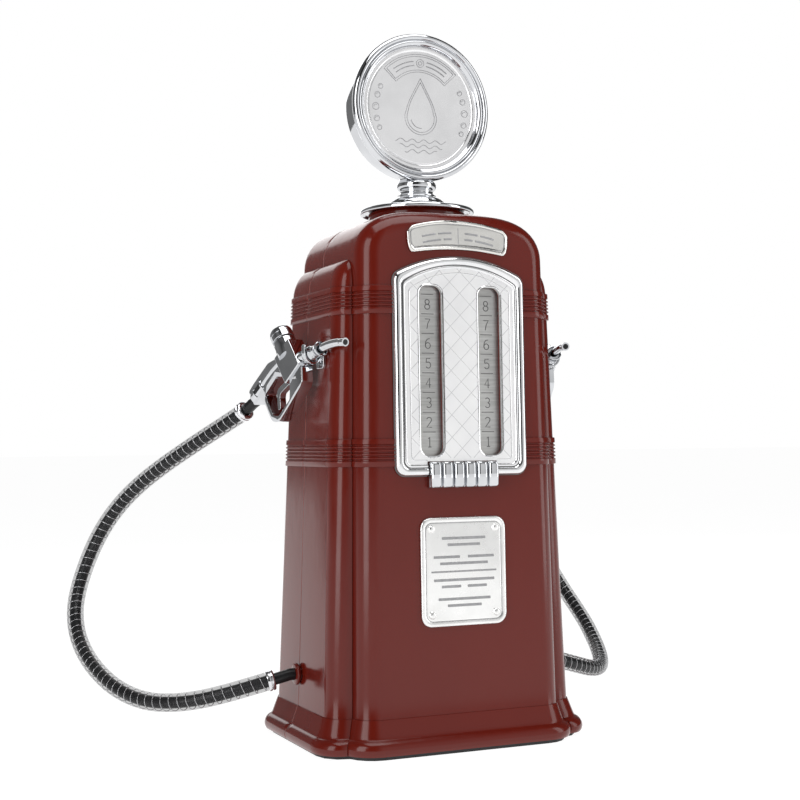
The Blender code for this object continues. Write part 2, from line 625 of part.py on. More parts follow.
def make_nozzle(side, sign, mats):
    frame = frame_empty(f"nozzle_{side}_frame", nozzle_axes(sign))

    def piece(name, bm, mat, matrix=None):
        return add(f"nozzle_{side}_{name}", bm, mats[mat], matrix, frame)

    casting = piece("casting", prism(millimetres(CASTING), -CASTING_HALF, CASTING_HALF), "chrome")
    loop = helper(piece("cut_loop", prism(millimetres(FINGER_LOOP), -0.02, 0.02), "chrome"))
    slot = box((20.6 * MM, -22.0 * MM, -2.9 * MM), (45.0 * MM, -12.6 * MM, 2.9 * MM))
    slot = helper(piece("cut_slot", slot, "chrome"))
    pin_hole = turned([(1.5 * MM, 0.02), (1.5 * MM, -0.02)], 10)
    pin_hole = helper(piece("cut_pin", pin_hole, "chrome", Matrix.Translation(PIVOT)))
    bore = turned([(3.2 * MM, 30 * MM), (3.2 * MM, -10 * MM)], 12)
    bore = helper(piece("cut_bore", bore, "chrome", barrel_frame(0)))
    rod_hole = turned([(1.6 * MM, -8 * MM), (1.6 * MM, -24 * MM)], 10)
    rod_hole = helper(piece("cut_rod", rod_hole, "chrome", barrel_frame(0)))
    neck_line = Vector((16.6, -3.8, 0)).normalized()
    boss = turned([(4.7 * MM, 26 * MM), (4.7 * MM, 16.5 * MM)], 16)
    boolean(casting, helper(piece("join_boss", boss, "chrome", aim((0, 0, 0), neck_line))), "UNION")
    for cutter in (loop, slot, pin_hole, bore, rod_hole):
        boolean(casting, cutter)
    cap = [(0, 18.6), (3.4, 18.0), (6.2, 16.2), (7.6, 13.6), (7.8, 6.9), (0, 6.9)]
    piece("cap", turned(millimetres(cap), 20), "chrome", barrel_frame(0))
    spring = [(2.9, 6.4), (2.9, -5.0), (1.9, -5.0), (1.9, 6.4)]
    piece("valve_spring", turned(millimetres(spring), 12, loop=True), "steel", barrel_frame(0))
    pin = turned([(1.2 * MM, 4.4 * MM), (1.2 * MM, -4.4 * MM)], 10)
    piece("trigger_pin", pin, "steel", Matrix.Translation(PIVOT))

    neck = [(0, 16.2), (5.0, 16.2), (5.0, 10.0), (4.3, 8.4), (4.3, 3.4), (5.0, 1.6), (5.1, 0.0)]
    neck += [(4.5, 0.0), (4.2, 2.6), (0, 2.6)]
    piece("collar", turned(millimetres(neck), 20), "chrome", aim((0, 0, 0), neck_line))
    route = [(2.3, -0.5), (-2.5, 0.7), (-7.0, 1.7), (-12.0, 2.4), (-17.0, 2.8), (-22.0, 2.8), (-27.0, 2.5)]
    radii = [2.9, 2.9, 2.8, 2.75, 2.7, 2.65, 2.6]
    spout = piece("spout", swept(millimetres(route), [r * MM for r in radii], 14), "chrome")
    spout_hole = turned([(1.8 * MM, 5 * MM), (1.8 * MM, -7 * MM)], 10)
    tip = aim((-27.0 * MM, 2.5 * MM, 0), (-1, -0.05, 0))
    boolean(spout, helper(piece("cut_spout", spout_hole, "chrome", tip)))

    at_pin = Matrix.Translation(PIVOT)
    trigger = piece("trigger", prism(millimetres(TRIGGER), -2.4 * MM, 2.4 * MM), "chrome", at_pin)
    eye = turned([(1.5 * MM, 0.01), (1.5 * MM, -0.01)], 10)
    eye = helper(piece("cut_trigger_eye", eye, "chrome", at_pin))
    boolean(trigger, eye)
    plunger = [(0, -5.4), (2.8, -5.4), (2.8, -8.6), (1.2, -8.6), (1.2, -20.4), (0, -20.4)]
    piece("plunger", turned(millimetres(plunger), 12), "steel", barrel_frame(0))


def make_hook(side, sign, mats):
    """Wall plate with an open-topped cradle that the nozzle's collar rests in."""
    frame = nozzle_axes(sign)
    centre = Vector((11.0, -2.5, 0)) * MM
    angles = [math.pi * (1 + i / 8) for i in range(9)]
    cradle = [(-7.0, 5.5)] + [(7.0 * math.cos(a), 7.0 * math.sin(a)) for a in angles]
    cradle += [(7.0, 5.5), (5.6, 5.5)]
    cradle += [(5.6 * math.cos(a), 5.6 * math.sin(a)) for a in [math.pi * (2 - i / 8) for i in range(9)]]
    cradle += [(-5.6, 5.5)]
    # The cradle's outline lies across the nozzle: its x runs across and its y runs up.
    turn = Matrix(((0, 0, 1, 0), (0, 1, 0, 0), (-1, 0, 0, 0), (0, 0, 0, 1)))
    at = frame @ Matrix.Translation(centre) @ turn
    bm = prism(millimetres(cradle), -1.6 * MM, 1.6 * MM)
    hook = add(f"nozzle_hook_{side}", bm, mats["chrome"], at)
    wall = taper(WING_HALF, 0.255) + 0.8 * MM
    low = (min(sign * wall, sign * (wall + 1.9 * MM)), -29.3 * MM, 247 * MM)
    high = (max(sign * wall, sign * (wall + 1.9 * MM)), -16.5 * MM, 264 * MM)
    plate = helper(add(f"join_hook_plate_{side}", box(low, high), mats["chrome"]))
    boolean(hook, plate, "UNION")


# ---- glands and hoses ----
def smooth_curve(points, per_span=12):
    """Catmull-Rom curve through the points."""
    ends = [points[0] * 2 - points[1]] + points + [points[-1] * 2 - points[-2]]
    dense = []
    for a, b, c, d in zip(ends, ends[1:], ends[2:], ends[3:]):
        for i in range(per_span):
            t = i / per_span
            square = (2 * a - 5 * b + 4 * c - d) * t**2
            cube = (3 * b - a - 3 * c + d) * t**3
            dense.append(0.5 * (2 * b + (c - a) * t + square + cube))
    return dense + [points[-1]]


def spaced(points, spans):
    """Points at equal steps of length along a dense line."""
    lengths = [0.0]
    for a, b in zip(points, points[1:]):
        lengths.append(lengths[-1] + (b - a).length)
    out = []
    index = 0
    for i in range(spans + 1):
        target = lengths[-1] * i / spans
        while index < len(points) - 2 and lengths[index + 1] < target:
            index += 1
        part = (target - lengths[index]) / (lengths[index + 1] - lengths[index])
        out.append(points[index].lerp(points[index + 1], part))
    return out


def tube(name, points, radius, mat, parent=None, resolution=2, wall=None):
    """Plain round tube along a list of points, solid, or hollow where a wall is given."""
    curve = bpy.data.curves.new(name, "CURVE")
    curve.dimensions = "3D"
    curve.bevel_depth = radius
    curve.bevel_resolution = resolution
    curve.use_fill_caps = wall is None
    spline = curve.splines.new("POLY")
    spline.points.add(len(points) - 1)
    for point, place_at in zip(spline.points, points):
        point.co = (*place_at, 1.0)
    curve.materials.append(mat)
    obj = bpy.data.objects.new(name, curve)
    bpy.context.scene.collection.objects.link(obj)
    obj.parent = parent
    if wall:
        modifier = obj.modifiers.new("wall", "SOLIDIFY")
        modifier.thickness = wall
        modifier.offset = -1
        modifier.use_rim = True
    return obj


def make_hose(side, sign, mats):
    mirror = Vector((-sign, 1, 1))
    route = [Vector(p) * mirror * MM for p in HOSE_ROUTE]
    points = spaced(smooth_curve(route), HOSE_SPANS)
    handle_axis = nozzle_axes(sign).to_3x3() @ Vector((0.8, -0.6, 0))
    straight = [points[0] + Vector((sign, 0, 0)) * 3 * MM]
    arriving = [points[-1] + handle_axis * 3 * MM]
    tube(f"hose_{side}", points[:1] + straight + points[1:-1] + arriving + points[-1:], HOSE_R, mats["hose"])
    for end, at, ahead, behind in (("lower", 1, 2, 0), ("upper", -2, -3, -1)):
        along = (points[ahead] - points[at]).normalized() - (points[behind] - points[at]).normalized()
        ring = turned(millimetres([(6.9, 2.5), (6.9, -2.5), (4.7, -2.5), (4.7, 2.5)]), 16, loop=True)
        add(f"hose_{side}_{end}_ferrule", ring, mats["steel"], aim(points[at], along))
    first = points[1] + (points[2] - points[1]).normalized() * 3.3 * MM
    last = points[-2] + (points[-3] - points[-2]).normalized() * 3.3 * MM
    tube(f"hose_{side}_sleeve", [first] + points[2:-2] + [last], SLEEVE_R, mats["sleeve"], wall=SLEEVE_WALL)
    gland = [(7.2, GLAND_FACE / MM), (7.2, 88.3), (5.1, 88.3), (5.1, 84.5), (2.4, 84.5), (2.4, GLAND_FACE / MM)]
    gland = turned(millimetres(gland), 20, loop=True)
    add(f"hose_gland_{side}", gland, mats["body"], aim((0, SEAM_Y, GLAND_Z), (sign, 0, 0)))


def materials():
    return {
        "body": material("dark_red_gloss_plastic", (0.16, 0.012, 0.01), 0.18),
        "base": material("black_plastic", (0.03, 0.03, 0.03), 0.5),
        "rubber": material("black_rubber", (0.02, 0.02, 0.02), 0.8),
        "steel": material("bright_steel", (0.62, 0.62, 0.63), 0.3, 1.0),
        "chrome": material("bright_chrome", (0.75, 0.76, 0.78), 0.06, 1.0),
        "pewter": material("satin_plate", (0.66, 0.64, 0.6), 0.32, 1.0),
        "gauge": material("brushed_gauge_grey", (0.42, 0.42, 0.42), 0.4, 0.8),
        "tank": material("clear_tank_plastic", (0.75, 0.78, 0.8), 0.15),
        "hose": material("black_hose", (0.015, 0.015, 0.015), 0.45),
        "sleeve": material("clear_hose_sleeve", (0.25, 0.25, 0.26), 0.15),
    }


def main():
    clear_scene()
    mats = materials()
    make_shells(mats)
    make_base(mats)
    make_tanks(mats)
    make_bezel(mats)
    make_grille(mats)
    make_plaque(mats)
    make_plate(mats)
    make_lid(mats)
    make_globe(mats)
    for side, sign in SIDES.items():
        make_nozzle(side, sign, mats)
        make_hook(side, sign, mats)
        make_hose(side, sign, mats)


main()
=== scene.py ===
"""Looks for the table-top drinks dispenser: a vintage twin pump with chrome trim, hoses and nozzles."""

import json
import math

import bmesh
import bpy
from mathutils import Matrix, Vector


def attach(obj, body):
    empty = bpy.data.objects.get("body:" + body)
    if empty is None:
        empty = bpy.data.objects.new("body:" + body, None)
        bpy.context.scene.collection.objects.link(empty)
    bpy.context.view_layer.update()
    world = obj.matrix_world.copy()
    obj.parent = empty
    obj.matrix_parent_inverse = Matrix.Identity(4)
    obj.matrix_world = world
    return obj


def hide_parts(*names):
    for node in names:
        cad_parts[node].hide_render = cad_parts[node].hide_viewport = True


MM = 0.001
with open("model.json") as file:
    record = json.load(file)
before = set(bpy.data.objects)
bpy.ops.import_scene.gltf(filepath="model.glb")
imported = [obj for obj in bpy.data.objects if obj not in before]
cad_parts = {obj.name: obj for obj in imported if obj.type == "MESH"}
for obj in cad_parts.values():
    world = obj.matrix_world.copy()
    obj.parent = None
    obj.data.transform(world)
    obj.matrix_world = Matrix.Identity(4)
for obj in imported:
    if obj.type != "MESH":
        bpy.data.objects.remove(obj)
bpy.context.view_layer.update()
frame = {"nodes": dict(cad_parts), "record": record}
NODES = frame["nodes"]
SIDES = {"left": -1, "right": 1}

SEAM_Y = 7.4
Z_PLINTH = 24.0
LOWER_BAND = (182.9, 200.9)
UPPER_BAND = (280.7, 298.9)
BAND_OUT = 1.15
Z_WING_TOP = 317.5
Z_SPRING = 320.0
Z_CROWN = 349.5
MAIN_HALF = (72.6, 67.8)
WING_HALF = (87.85, 78.1)
FRONT = {"main": (73.4, 69.05), "wing": (60.0, 54.7), "sign": -1}
REAR = {"main": (58.3, 50.5), "wing": (51.2, 42.4), "sign": 1}
CORNER = 14.0
WING_ROUND = 13.0
WALL = 2.0
FILL_RADIUS = 30.3
STEM_Y = 2.5
GLOBE_Z = 428.9
RING = Vector((-85.9, -36.5, 259.3))
NOZZLE_YAW = math.radians(13.5)
BARREL = Vector((0.6, 0.8, 0.0))
BARREL_MID = Vector((40.2, 2.0, 0.0))
PIVOT = Vector((25.0, -17.0, 0.0))
HOSE_ROUTE = [
    (-91.0, 7.4, 45.0), (-97.0, 7.7, 44.2), (-104.0, 8.8, 42.4), (-120.0, 13.2, 38.0),
    (-136.0, 20.5, 33.2), (-151.0, 30.5, 29.0), (-165.0, 43.0, 26.4), (-177.0, 58.0, 26.0),
    (-187.0, 74.5, 28.8), (-194.8, 91.8, 34.0), (-200.5, 109.0, 41.0), (-204.5, 126.0, 49.5),
    (-206.3, 142.5, 59.0), (-206.0, 156.5, 69.0), (-204.0, 167.5, 79.8), (-200.5, 175.0, 91.0),
    (-196.0, 179.3, 103.0), (-190.6, 180.3, 116.5), (-184.5, 177.8, 130.5), (-177.3, 170.8, 144.8),
    (-168.8, 159.5, 158.5), (-159.3, 143.5, 171.3), (-149.0, 124.5, 183.0), (-138.3, 104.0, 194.0),
    (-127.8, 84.0, 204.2), (-117.5, 66.5, 213.6), (-108.6, 51.0, 222.2), (-104.4, 40.6, 229.1),
]


# ---- camera ----
def make_camera():
    yaw, pitch, roll = math.radians(23.70), math.radians(1.72), math.radians(-0.577)
    forward = Vector((math.sin(yaw) * math.cos(pitch), math.cos(yaw) * math.cos(pitch), math.sin(pitch)))
    right = Vector((math.cos(yaw), -math.sin(yaw), 0))
    up = right.cross(forward)
    right_rolled = right * math.cos(roll) + up * math.sin(roll)
    up_rolled = up * math.cos(roll) - right * math.sin(roll)
    data = bpy.data.cameras.new("camera")
    data.lens = 65.16
    data.sensor_width = 36
    data.clip_start = 0.02
    camera = bpy.data.objects.new("camera", data)
    bpy.context.scene.collection.objects.link(camera)
    turn = Matrix((right_rolled, up_rolled, -forward)).transposed().to_4x4()
    camera.matrix_world = Matrix.Translation(Vector((-414.0, -908.9, 197.7)) * MM) @ turn
    bpy.context.scene.camera = camera


# ---- node helpers ----
class Nodes:
    """A few short calls for building a material's node tree."""

    def __init__(self, name):
        self.material = bpy.data.materials.new(name)
        self.material.use_nodes = True
        self.tree = self.material.node_tree
        self.shader = self.tree.nodes["Principled BSDF"]
        self.coord = self.tree.nodes.new("ShaderNodeTexCoord").outputs["Object"]

    def link(self, source, target):
        self.tree.links.new(source, target)

    def set(self, **values):
        for key, value in values.items():
            self.shader.inputs[key.replace("_", " ")].default_value = value

    def node(self, kind, **inputs):
        made = self.tree.nodes.new("ShaderNode" + kind)
        for key, value in inputs.items():
            if isinstance(value, bpy.types.NodeSocket):
                self.link(value, made.inputs[key.replace("_", " ")])
            else:
                made.inputs[key.replace("_", " ")].default_value = value
        return made

    def math(self, operation, a, b=0.0, c=0.0):
        made = self.tree.nodes.new("ShaderNodeMath")
        made.operation = operation
        for slot, value in enumerate((a, b, c)):
            if isinstance(value, bpy.types.NodeSocket):
                self.link(value, made.inputs[slot])
            else:
                made.inputs[slot].default_value = value
        return made.outputs[0]

    def noise(self, scale, detail=3.0, stretch=(1, 1, 1)):
        mapped = self.node("Mapping", Vector=self.coord, Scale=stretch)
        made = self.node("TexNoise", Vector=mapped.outputs[0], Scale=scale, Detail=detail)
        return made.outputs["Fac"]

    def ramp(self, fac, stops):
        made = self.tree.nodes.new("ShaderNodeValToRGB")
        self.link(fac, made.inputs[0])
        elements = made.color_ramp.elements
        while len(elements) < len(stops):
            elements.new(0.5)
        for element, (at, colour) in zip(elements, stops):
            element.position = at
            element.color = (*colour, 1.0) if hasattr(colour, "__len__") else (colour, colour, colour, 1.0)
        return made.outputs[0]

    def spread(self, fac, low, high):
        made = self.node("MapRange", Value=fac, From_Min=0.3, From_Max=0.7, To_Min=low, To_Max=high)
        return made.outputs[0]

    def bump(self, height, strength, distance, normal=None):
        made = self.node("Bump", Height=height, Strength=strength, Distance=distance)
        if normal is not None:
            self.link(normal, made.inputs["Normal"])
        self.link(made.outputs[0], self.shader.inputs["Normal"])
        return made.outputs[0]


def gloss_plastic(name, dark, light, rough):
    """Moulded plastic with a faint flow marking, soft scuffs and slight waviness."""
    n = Nodes(name)
    n.set(Metallic=0.0, IOR=1.46, Specular_IOR_Level=0.42)
    flow = n.noise(9.0, 4.0, (1, 1, 0.5))
    n.link(n.ramp(flow, [(0.3, dark), (0.75, light)]), n.shader.inputs["Base Color"])
    scuffs = n.noise(260.0, 6.0, (1, 1, 0.25))
    n.link(n.spread(scuffs, *rough), n.shader.inputs["Roughness"])
    waves = n.noise(22.0, 1.0)
    first = n.bump(waves, 0.12, 0.0006)
    n.bump(n.noise(900.0, 2.0), 0.03, 0.0001, first)
    return n.material


def plated(name, dark, light, rough=(0.03, 0.09), waviness=0.06):
    """Bright plating with smudges, tiny pits and a little waviness from the plastic below."""
    n = Nodes(name)
    n.set(Metallic=1.0)
    smudge = n.noise(38.0, 5.0)
    n.link(n.ramp(smudge, [(0.35, dark), (0.62, light)]), n.shader.inputs["Base Color"])
    n.link(n.spread(n.noise(120.0, 5.0), *rough), n.shader.inputs["Roughness"])
    first = n.bump(n.noise(45.0, 1.0), waviness, 0.0006)
    n.bump(n.noise(1500.0, 2.0), 0.02, 0.0001, first)
    return n.material


def brushed(name, dark, light, rough, stretch, metallic=1.0, depth=0.12):
    """Metal with a fine brushed grain along one axis."""
    n = Nodes(name)
    n.set(Metallic=metallic)
    grain = n.noise(900.0, 3.0, stretch)
    patches = n.noise(30.0, 3.0)
    tone = n.math("MULTIPLY_ADD", grain, 0.6, n.math("MULTIPLY", patches, 0.4))
    n.link(n.ramp(tone, [(0.35, dark), (0.65, light)]), n.shader.inputs["Base Color"])
    n.link(n.spread(patches, *rough), n.shader.inputs["Roughness"])
    n.bump(grain, depth, 0.0002)
    return n.material


LATTICE_TOP = 0.3094
LATTICE_PITCH = 0.0144
LATTICE_HALF = 0.0359
LATTICE_FOOT = 0.188


def quilted(name):
    """Bright pressed metal with a lattice of fine engraved diagonal lines."""
    n = Nodes(name)
    n.set(Metallic=0.75)
    parts = n.node("SeparateXYZ", Vector=n.coord)
    x, z = parts.outputs["X"], parts.outputs["Z"]
    lines = None
    for sign in (1.0, -1.0):
        along = n.math("MULTIPLY_ADD", x, sign, n.math("SUBTRACT", z, LATTICE_TOP))
        phase = n.math("PINGPONG", n.math("DIVIDE", along, LATTICE_PITCH), 0.5)
        near = n.math("LESS_THAN", phase, 0.022)
        lines = near if lines is None else n.math("MAXIMUM", lines, near)
    inside = n.math("LESS_THAN", n.math("ABSOLUTE", x), LATTICE_HALF)
    inside = n.math("MULTIPLY", inside, n.math("GREATER_THAN", z, LATTICE_FOOT))
    lines = n.math("MULTIPLY", lines, inside)
    mix = n.tree.nodes.new("ShaderNodeMix")
    mix.data_type = "RGBA"
    n.link(lines, mix.inputs["Factor"])
    metal = n.ramp(n.noise(30.0, 3.0), [(0.3, (0.86, 0.86, 0.87)), (0.7, (0.95, 0.95, 0.95))])
    n.link(metal, mix.inputs["A"])
    mix.inputs["B"].default_value = (0.62, 0.62, 0.63, 1)
    n.link(mix.outputs["Result"], n.shader.inputs["Base Color"])
    n.link(n.spread(n.noise(80.0, 4.0), 0.3, 0.42), n.shader.inputs["Roughness"])
    n.bump(n.math("SUBTRACT", 1.0, lines), 0.35, 0.0002)
    return n.material


def clear_sleeve(name):
    """Clear flexible sleeve, slightly smoky, with faint streaks."""
    n = Nodes(name)
    n.set(Metallic=0.0, IOR=1.4, Alpha=0.3, Specular_IOR_Level=0.3)
    smoke = n.ramp(n.noise(60.0, 3.0), [(0.3, (0.035, 0.036, 0.038)), (0.7, (0.06, 0.061, 0.064))])
    n.link(smoke, n.shader.inputs["Base Color"])
    n.link(n.spread(n.noise(140.0, 4.0), 0.1, 0.2), n.shader.inputs["Roughness"])
    n.bump(n.noise(220.0, 2.0), 0.05, 0.0002)
    return n.material


def clear_plastic(name):
    n = Nodes(name)
    n.set(Metallic=0.0, IOR=1.46, Alpha=0.45)
    tint = n.ramp(n.noise(20.0, 3.0), [(0.3, (0.62, 0.66, 0.68)), (0.7, (0.8, 0.84, 0.86))])
    n.link(tint, n.shader.inputs["Base Color"])
    n.link(n.spread(n.noise(90.0, 3.0), 0.12, 0.25), n.shader.inputs["Roughness"])
    n.bump(n.noise(70.0, 2.0), 0.06, 0.0005)
    return n.material


def pale_floor(name):
    n = Nodes(name)
    n.set(Metallic=0.0)
    n.link(n.ramp(n.noise(3.0, 2.0), [(0.3, 0.2), (0.7, 0.22)]), n.shader.inputs["Base Color"])
    n.link(n.spread(n.noise(8.0, 2.0), 0.5, 0.6), n.shader.inputs["Roughness"])
    n.set(Emission_Color=(1, 1, 1, 1), Emission_Strength=0.95, Specular_IOR_Level=0.0)
    return n.material


MAROON = ((0.112, 0.0084, 0.0042), (0.132, 0.0108, 0.0054))
BLACK = ((0.016, 0.016, 0.017), (0.03, 0.03, 0.031))
RUBBER = ((0.012, 0.012, 0.012), (0.03, 0.03, 0.03))
HOSE = ((0.004, 0.004, 0.0045), (0.009, 0.009, 0.01))
# Dark greys for the gauge's printed marks; the same tone is also painted shade in the bezel rim's groove and
# along the bezel's foot.
INK_AND_SHADE_GREYS = ((0.1, 0.1, 0.1), (0.17, 0.17, 0.17))
STEEL = ((0.5, 0.5, 0.51), (0.74, 0.74, 0.75))
GAUGE = ((0.4, 0.4, 0.39), (0.56, 0.56, 0.55))
# Darker grey for raised bars and relief lines: painted shade standing in for the shade along the raised
# lines.
RELIEF_SHADE_GREYS = ((0.3, 0.3, 0.31), (0.42, 0.42, 0.43))
MATS = {
    "body": gloss_plastic("maroon_gloss_plastic", *MAROON, (0.12, 0.2)),
    "base": gloss_plastic("black_moulded_plastic", *BLACK, (0.4, 0.6)),
    "rubber": gloss_plastic("black_rubber", *RUBBER, (0.65, 0.85)),
    "steel": brushed("bright_steel", *STEEL, (0.16, 0.28), (1, 1, 0.2)),
    "chrome": plated("mirror_chrome", (0.6, 0.61, 0.63), (0.7, 0.71, 0.73)),
    "panel_chrome": plated("bright_panel_chrome", (0.76, 0.77, 0.78), (0.86, 0.86, 0.87), (0.07, 0.14), 0.03),
    "pewter": plated("satin_nickel", (0.74, 0.73, 0.7), (0.86, 0.85, 0.82), (0.16, 0.26), 0.05),
    "plate": plated("bright_plate", (0.86, 0.86, 0.85), (0.95, 0.95, 0.94), (0.24, 0.34), 0.04),
    "gauge": brushed("brushed_gauge_grey", *GAUGE, (0.3, 0.42), (0.06, 1, 1), 0.85),
    # Real print on the gauges, painted shade where the bezel uses it.
    "ink_and_painted_shade": gloss_plastic("dark_print_and_painted_shade", *INK_AND_SHADE_GREYS, (0.4, 0.6)),
    "quilt": quilted("quilted_bright_panel"),
    "tank": clear_plastic("clear_tank_plastic"),
    "hose": gloss_plastic("black_hose", *HOSE, (0.3, 0.45)),
    "sleeve": clear_sleeve("clear_hose_sleeve"),
    # Painted shade: a darker tone on the raised bars and relief lines.
    "line": brushed("relief_line_painted_shade", *RELIEF_SHADE_GREYS, (0.35, 0.5), (1, 1, 0.3), 0.6, 0.05),
    "wire": plated("silver_wire", (0.68, 0.68, 0.7), (0.85, 0.85, 0.87), (0.12, 0.22)),
    "face": plated("pressed_face_metal", (0.87, 0.87, 0.88), (0.95, 0.95, 0.96), (0.16, 0.24), 0.03),
}


# ---- mesh helpers, in millimetres ----
def finish_mesh(name, bm, mat, body, slot, replaces=(), matrix=None, bevel=None, sharp=35):
    """Turns a mesh drawn in millimetres into a finished piece that rides on a body."""
    bmesh.ops.remove_doubles(bm, verts=bm.verts, dist=1e-4)
    bmesh.ops.recalc_face_normals(bm, faces=bm.faces)
    if matrix is not None:
        bmesh.ops.transform(bm, matrix=matrix, verts=bm.verts)
    bmesh.ops.scale(bm, vec=(MM, MM, MM), verts=bm.verts)
    mesh = bpy.data.meshes.new(name)
    bm.to_mesh(mesh)
    bm.free()
    mesh.materials.append(MATS[mat])
    mesh.shade_smooth()
    mesh.set_sharp_from_angle(angle=math.radians(sharp))
    obj = bpy.data.objects.new(name, mesh)
    bpy.context.scene.collection.objects.link(obj)
    if bevel:
        modifier = obj.modifiers.new("edge", "BEVEL")
        modifier.width = bevel * MM
        modifier.segments = 3
        modifier.limit_method = "ANGLE"
        modifier.angle_limit = math.radians(32)
        modifier.harden_normals = True
    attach(obj, body)
    if replaces:
        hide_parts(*replaces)
    return obj


def oval(cx, cy, rx, ry, start, end, steps=12):
    """Points along part of an ellipse, from one angle in degrees to another."""
    angles = [math.radians(start + (end - start) * i / steps) for i in range(steps + 1)]
    return [(cx + rx * math.cos(a), cy + ry * math.sin(a)) for a in angles]


def arc(centre, radius, start, end, steps):
    return oval(*centre, radius, radius, start, end, steps)


def rounded_box(half, low, high, radius, steps=8):
    x = half - radius
    points = arc((x, high - radius), radius, 0, 90, steps)
    points += arc((-x, high - radius), radius, 90, 180, steps)
    points += arc((-x, low + radius), radius, 180, 270, steps)
    points += arc((x, low + radius), radius, 270, 360, steps)
    return points


def prism(outline, low, high):
    bm = bmesh.new()
    bottom = [bm.verts.new((x, y, low)) for x, y in outline]
    top = [bm.verts.new((x, y, high)) for x, y in outline]
    bm.faces.new(bottom)
    bm.faces.new(top)
    for i in range(len(outline)):
        j = (i + 1) % len(outline)
        bm.faces.new((bottom[i], bottom[j], top[j], top[i]))
    return bm


def loft(rings, cap=True, closed=False, bm=None):
    """Skin over rings of equal length; each ring is a list of (x, y, z)."""
    bm = bm or bmesh.new()
    made = [[bm.verts.new(p) for p in ring] for ring in rings]
    pairs = list(zip(made, made[1:]))
    if closed:
        pairs.append((made[-1], made[0]))
    for lower, upper in pairs:
        for i in range(len(lower)):
            j = (i + 1) % len(lower)
            bm.faces.new((lower[i], lower[j], upper[j], upper[i]))
    if cap and not closed:
        bm.faces.new(made[0])
        bm.faces.new(made[-1])
    return bm


def turned(profile, steps, loop=False, bm=None):
    """Solid of revolution about Z from (radius, z) pairs."""
    bm = bm or bmesh.new()
    rings = []
    for radius, z in profile:
        if radius <= 0:
            rings.append([bm.verts.new((0, 0, z))] * steps)
            continue
        angles = [2 * math.pi * i / steps for i in range(steps)]
        rings.append([bm.verts.new((radius * math.cos(a), radius * math.sin(a), z)) for a in angles])
    pairs = list(zip(rings, rings[1:]))
    if loop:
        pairs.append((rings[-1], rings[0]))
    for upper, lower in pairs:
        for i in range(steps):
            j = (i + 1) % steps
            corners = list(dict.fromkeys((upper[i], lower[i], lower[j], upper[j])))
            if len(corners) > 2:
                bm.faces.new(corners)
    if not loop:
        for ring in (rings[0], rings[-1]):
            if ring[0] is not ring[1]:
                bm.faces.new(ring)
    return bm


def rounded(points, radius, steps=4, closed=False):
    """Rounds the corners of a polyline of (x, y) pairs."""
    out = []
    count = len(points)
    for i, here in enumerate(points):
        if not closed and i in (0, count - 1):
            out.append(here)
            continue
        here = Vector(here)
        before = Vector(points[i - 1]) - here
        after = Vector(points[(i + 1) % count]) - here
        reach = min(radius, before.length * 0.45, after.length * 0.45)
        a = here + before.normalized() * reach
        b = here + after.normalized() * reach
        for k in range(steps + 1):
            t = k / steps
            out.append(tuple(a * (1 - t) ** 2 + here * (2 * t * (1 - t)) + b * t**2))
    return out


def aim(origin, direction):
    turn = Vector(direction).to_track_quat("Z", "Y").to_matrix().to_4x4()
    return Matrix.Translation(Vector(origin)) @ turn


# ---- pump body ----
def taper(pair, z):
    return pair[0] + (pair[1] - pair[0]) * (z - Z_PLINTH) / (UPPER_BAND[1] - Z_PLINTH)


def main_half(z):
    if z <= Z_SPRING:
        return taper(MAIN_HALF, z)
    rise = min((z - Z_SPRING) / (Z_CROWN - Z_SPRING), 1.0)
    return taper(MAIN_HALF, Z_SPRING) * (1 - rise**2) ** 0.25


OUTLINE = [
    (main_half(Z_CROWN * math.sin(math.pi / 2 * i / 240)), Z_CROWN * math.sin(math.pi / 2 * i / 240))
    for i in range(241)
]


def edge_distance(x, z):
    near = 1e9
    for (ax, az), (bx, bz) in zip(OUTLINE, OUTLINE[1:]):
        dx, dz = bx - ax, bz - az
        length = dx * dx + dz * dz
        t = max(0.0, min(1.0, ((x - ax) * dx + (z - az) * dz) / length)) if length else 0.0
        near = min(near, math.hypot(x - ax - t * dx, z - az - t * dz))
    return near


def half_section(z, out, face):
    """Half outline at height z, from mid face round to the seam, as (x, depth) pairs."""
    deep = taper(face["main"], z) + out
    side = max(main_half(z) + out, 0.0)
    corner = CORNER + out
    fall = min(max((z - UPPER_BAND[1]) / (Z_WING_TOP - UPPER_BAND[1]), 0.0), 1.0)
    keep = math.sqrt(1 - fall * fall)
    wing_side = side + (max(taper(WING_HALF, z) + out, side) - side) * keep
    wing_deep = taper(face["wing"], z) + out - 10.0 * (1 - keep)
    flat = max(side - corner, 0.0)
    end = math.acos(min(max((wing_deep - (deep - corner)) / corner, 0.0), 1.0))
    xs = [flat * i / 6 for i in range(7)]
    xs += [flat + (side - flat) * math.sin(end * i / 12) for i in range(1, 13)]
    half = []
    for x in xs:
        distance = max(side - x if z <= Z_SPRING else edge_distance(x, z) + out, 0.0)
        inset = max(corner - distance, 0.0)
        half.append((x, deep - corner + math.sqrt(corner**2 - inset**2)))
    groove, depth = half[-1]
    half.append((groove + 0.25 * keep, min(wing_deep, depth) - 0.5 * keep))
    half.append((groove + 0.7 * keep, wing_deep))
    round_x = min(WING_ROUND + out, max(wing_side - groove - 0.8 * keep, 0.0))
    round_y = WING_ROUND + out
    for i in range(11):
        a = math.pi / 2 * i / 10
        half.append((wing_side - round_x + round_x * math.sin(a), wing_deep - round_y * (1 - math.cos(a))))
    half.append((wing_side, 6.0))
    half.append((wing_side, 0.45))
    half.append((max(wing_side - 0.35, 0.0), 0.1))
    return half


def section(z, out, face):
    half = half_section(z, out, face)
    row = [(x, SEAM_Y + face["sign"] * depth, z) for x, depth in reversed(half)]
    return row + [(-x, SEAM_Y + face["sign"] * depth, z) for x, depth in half[1:]]


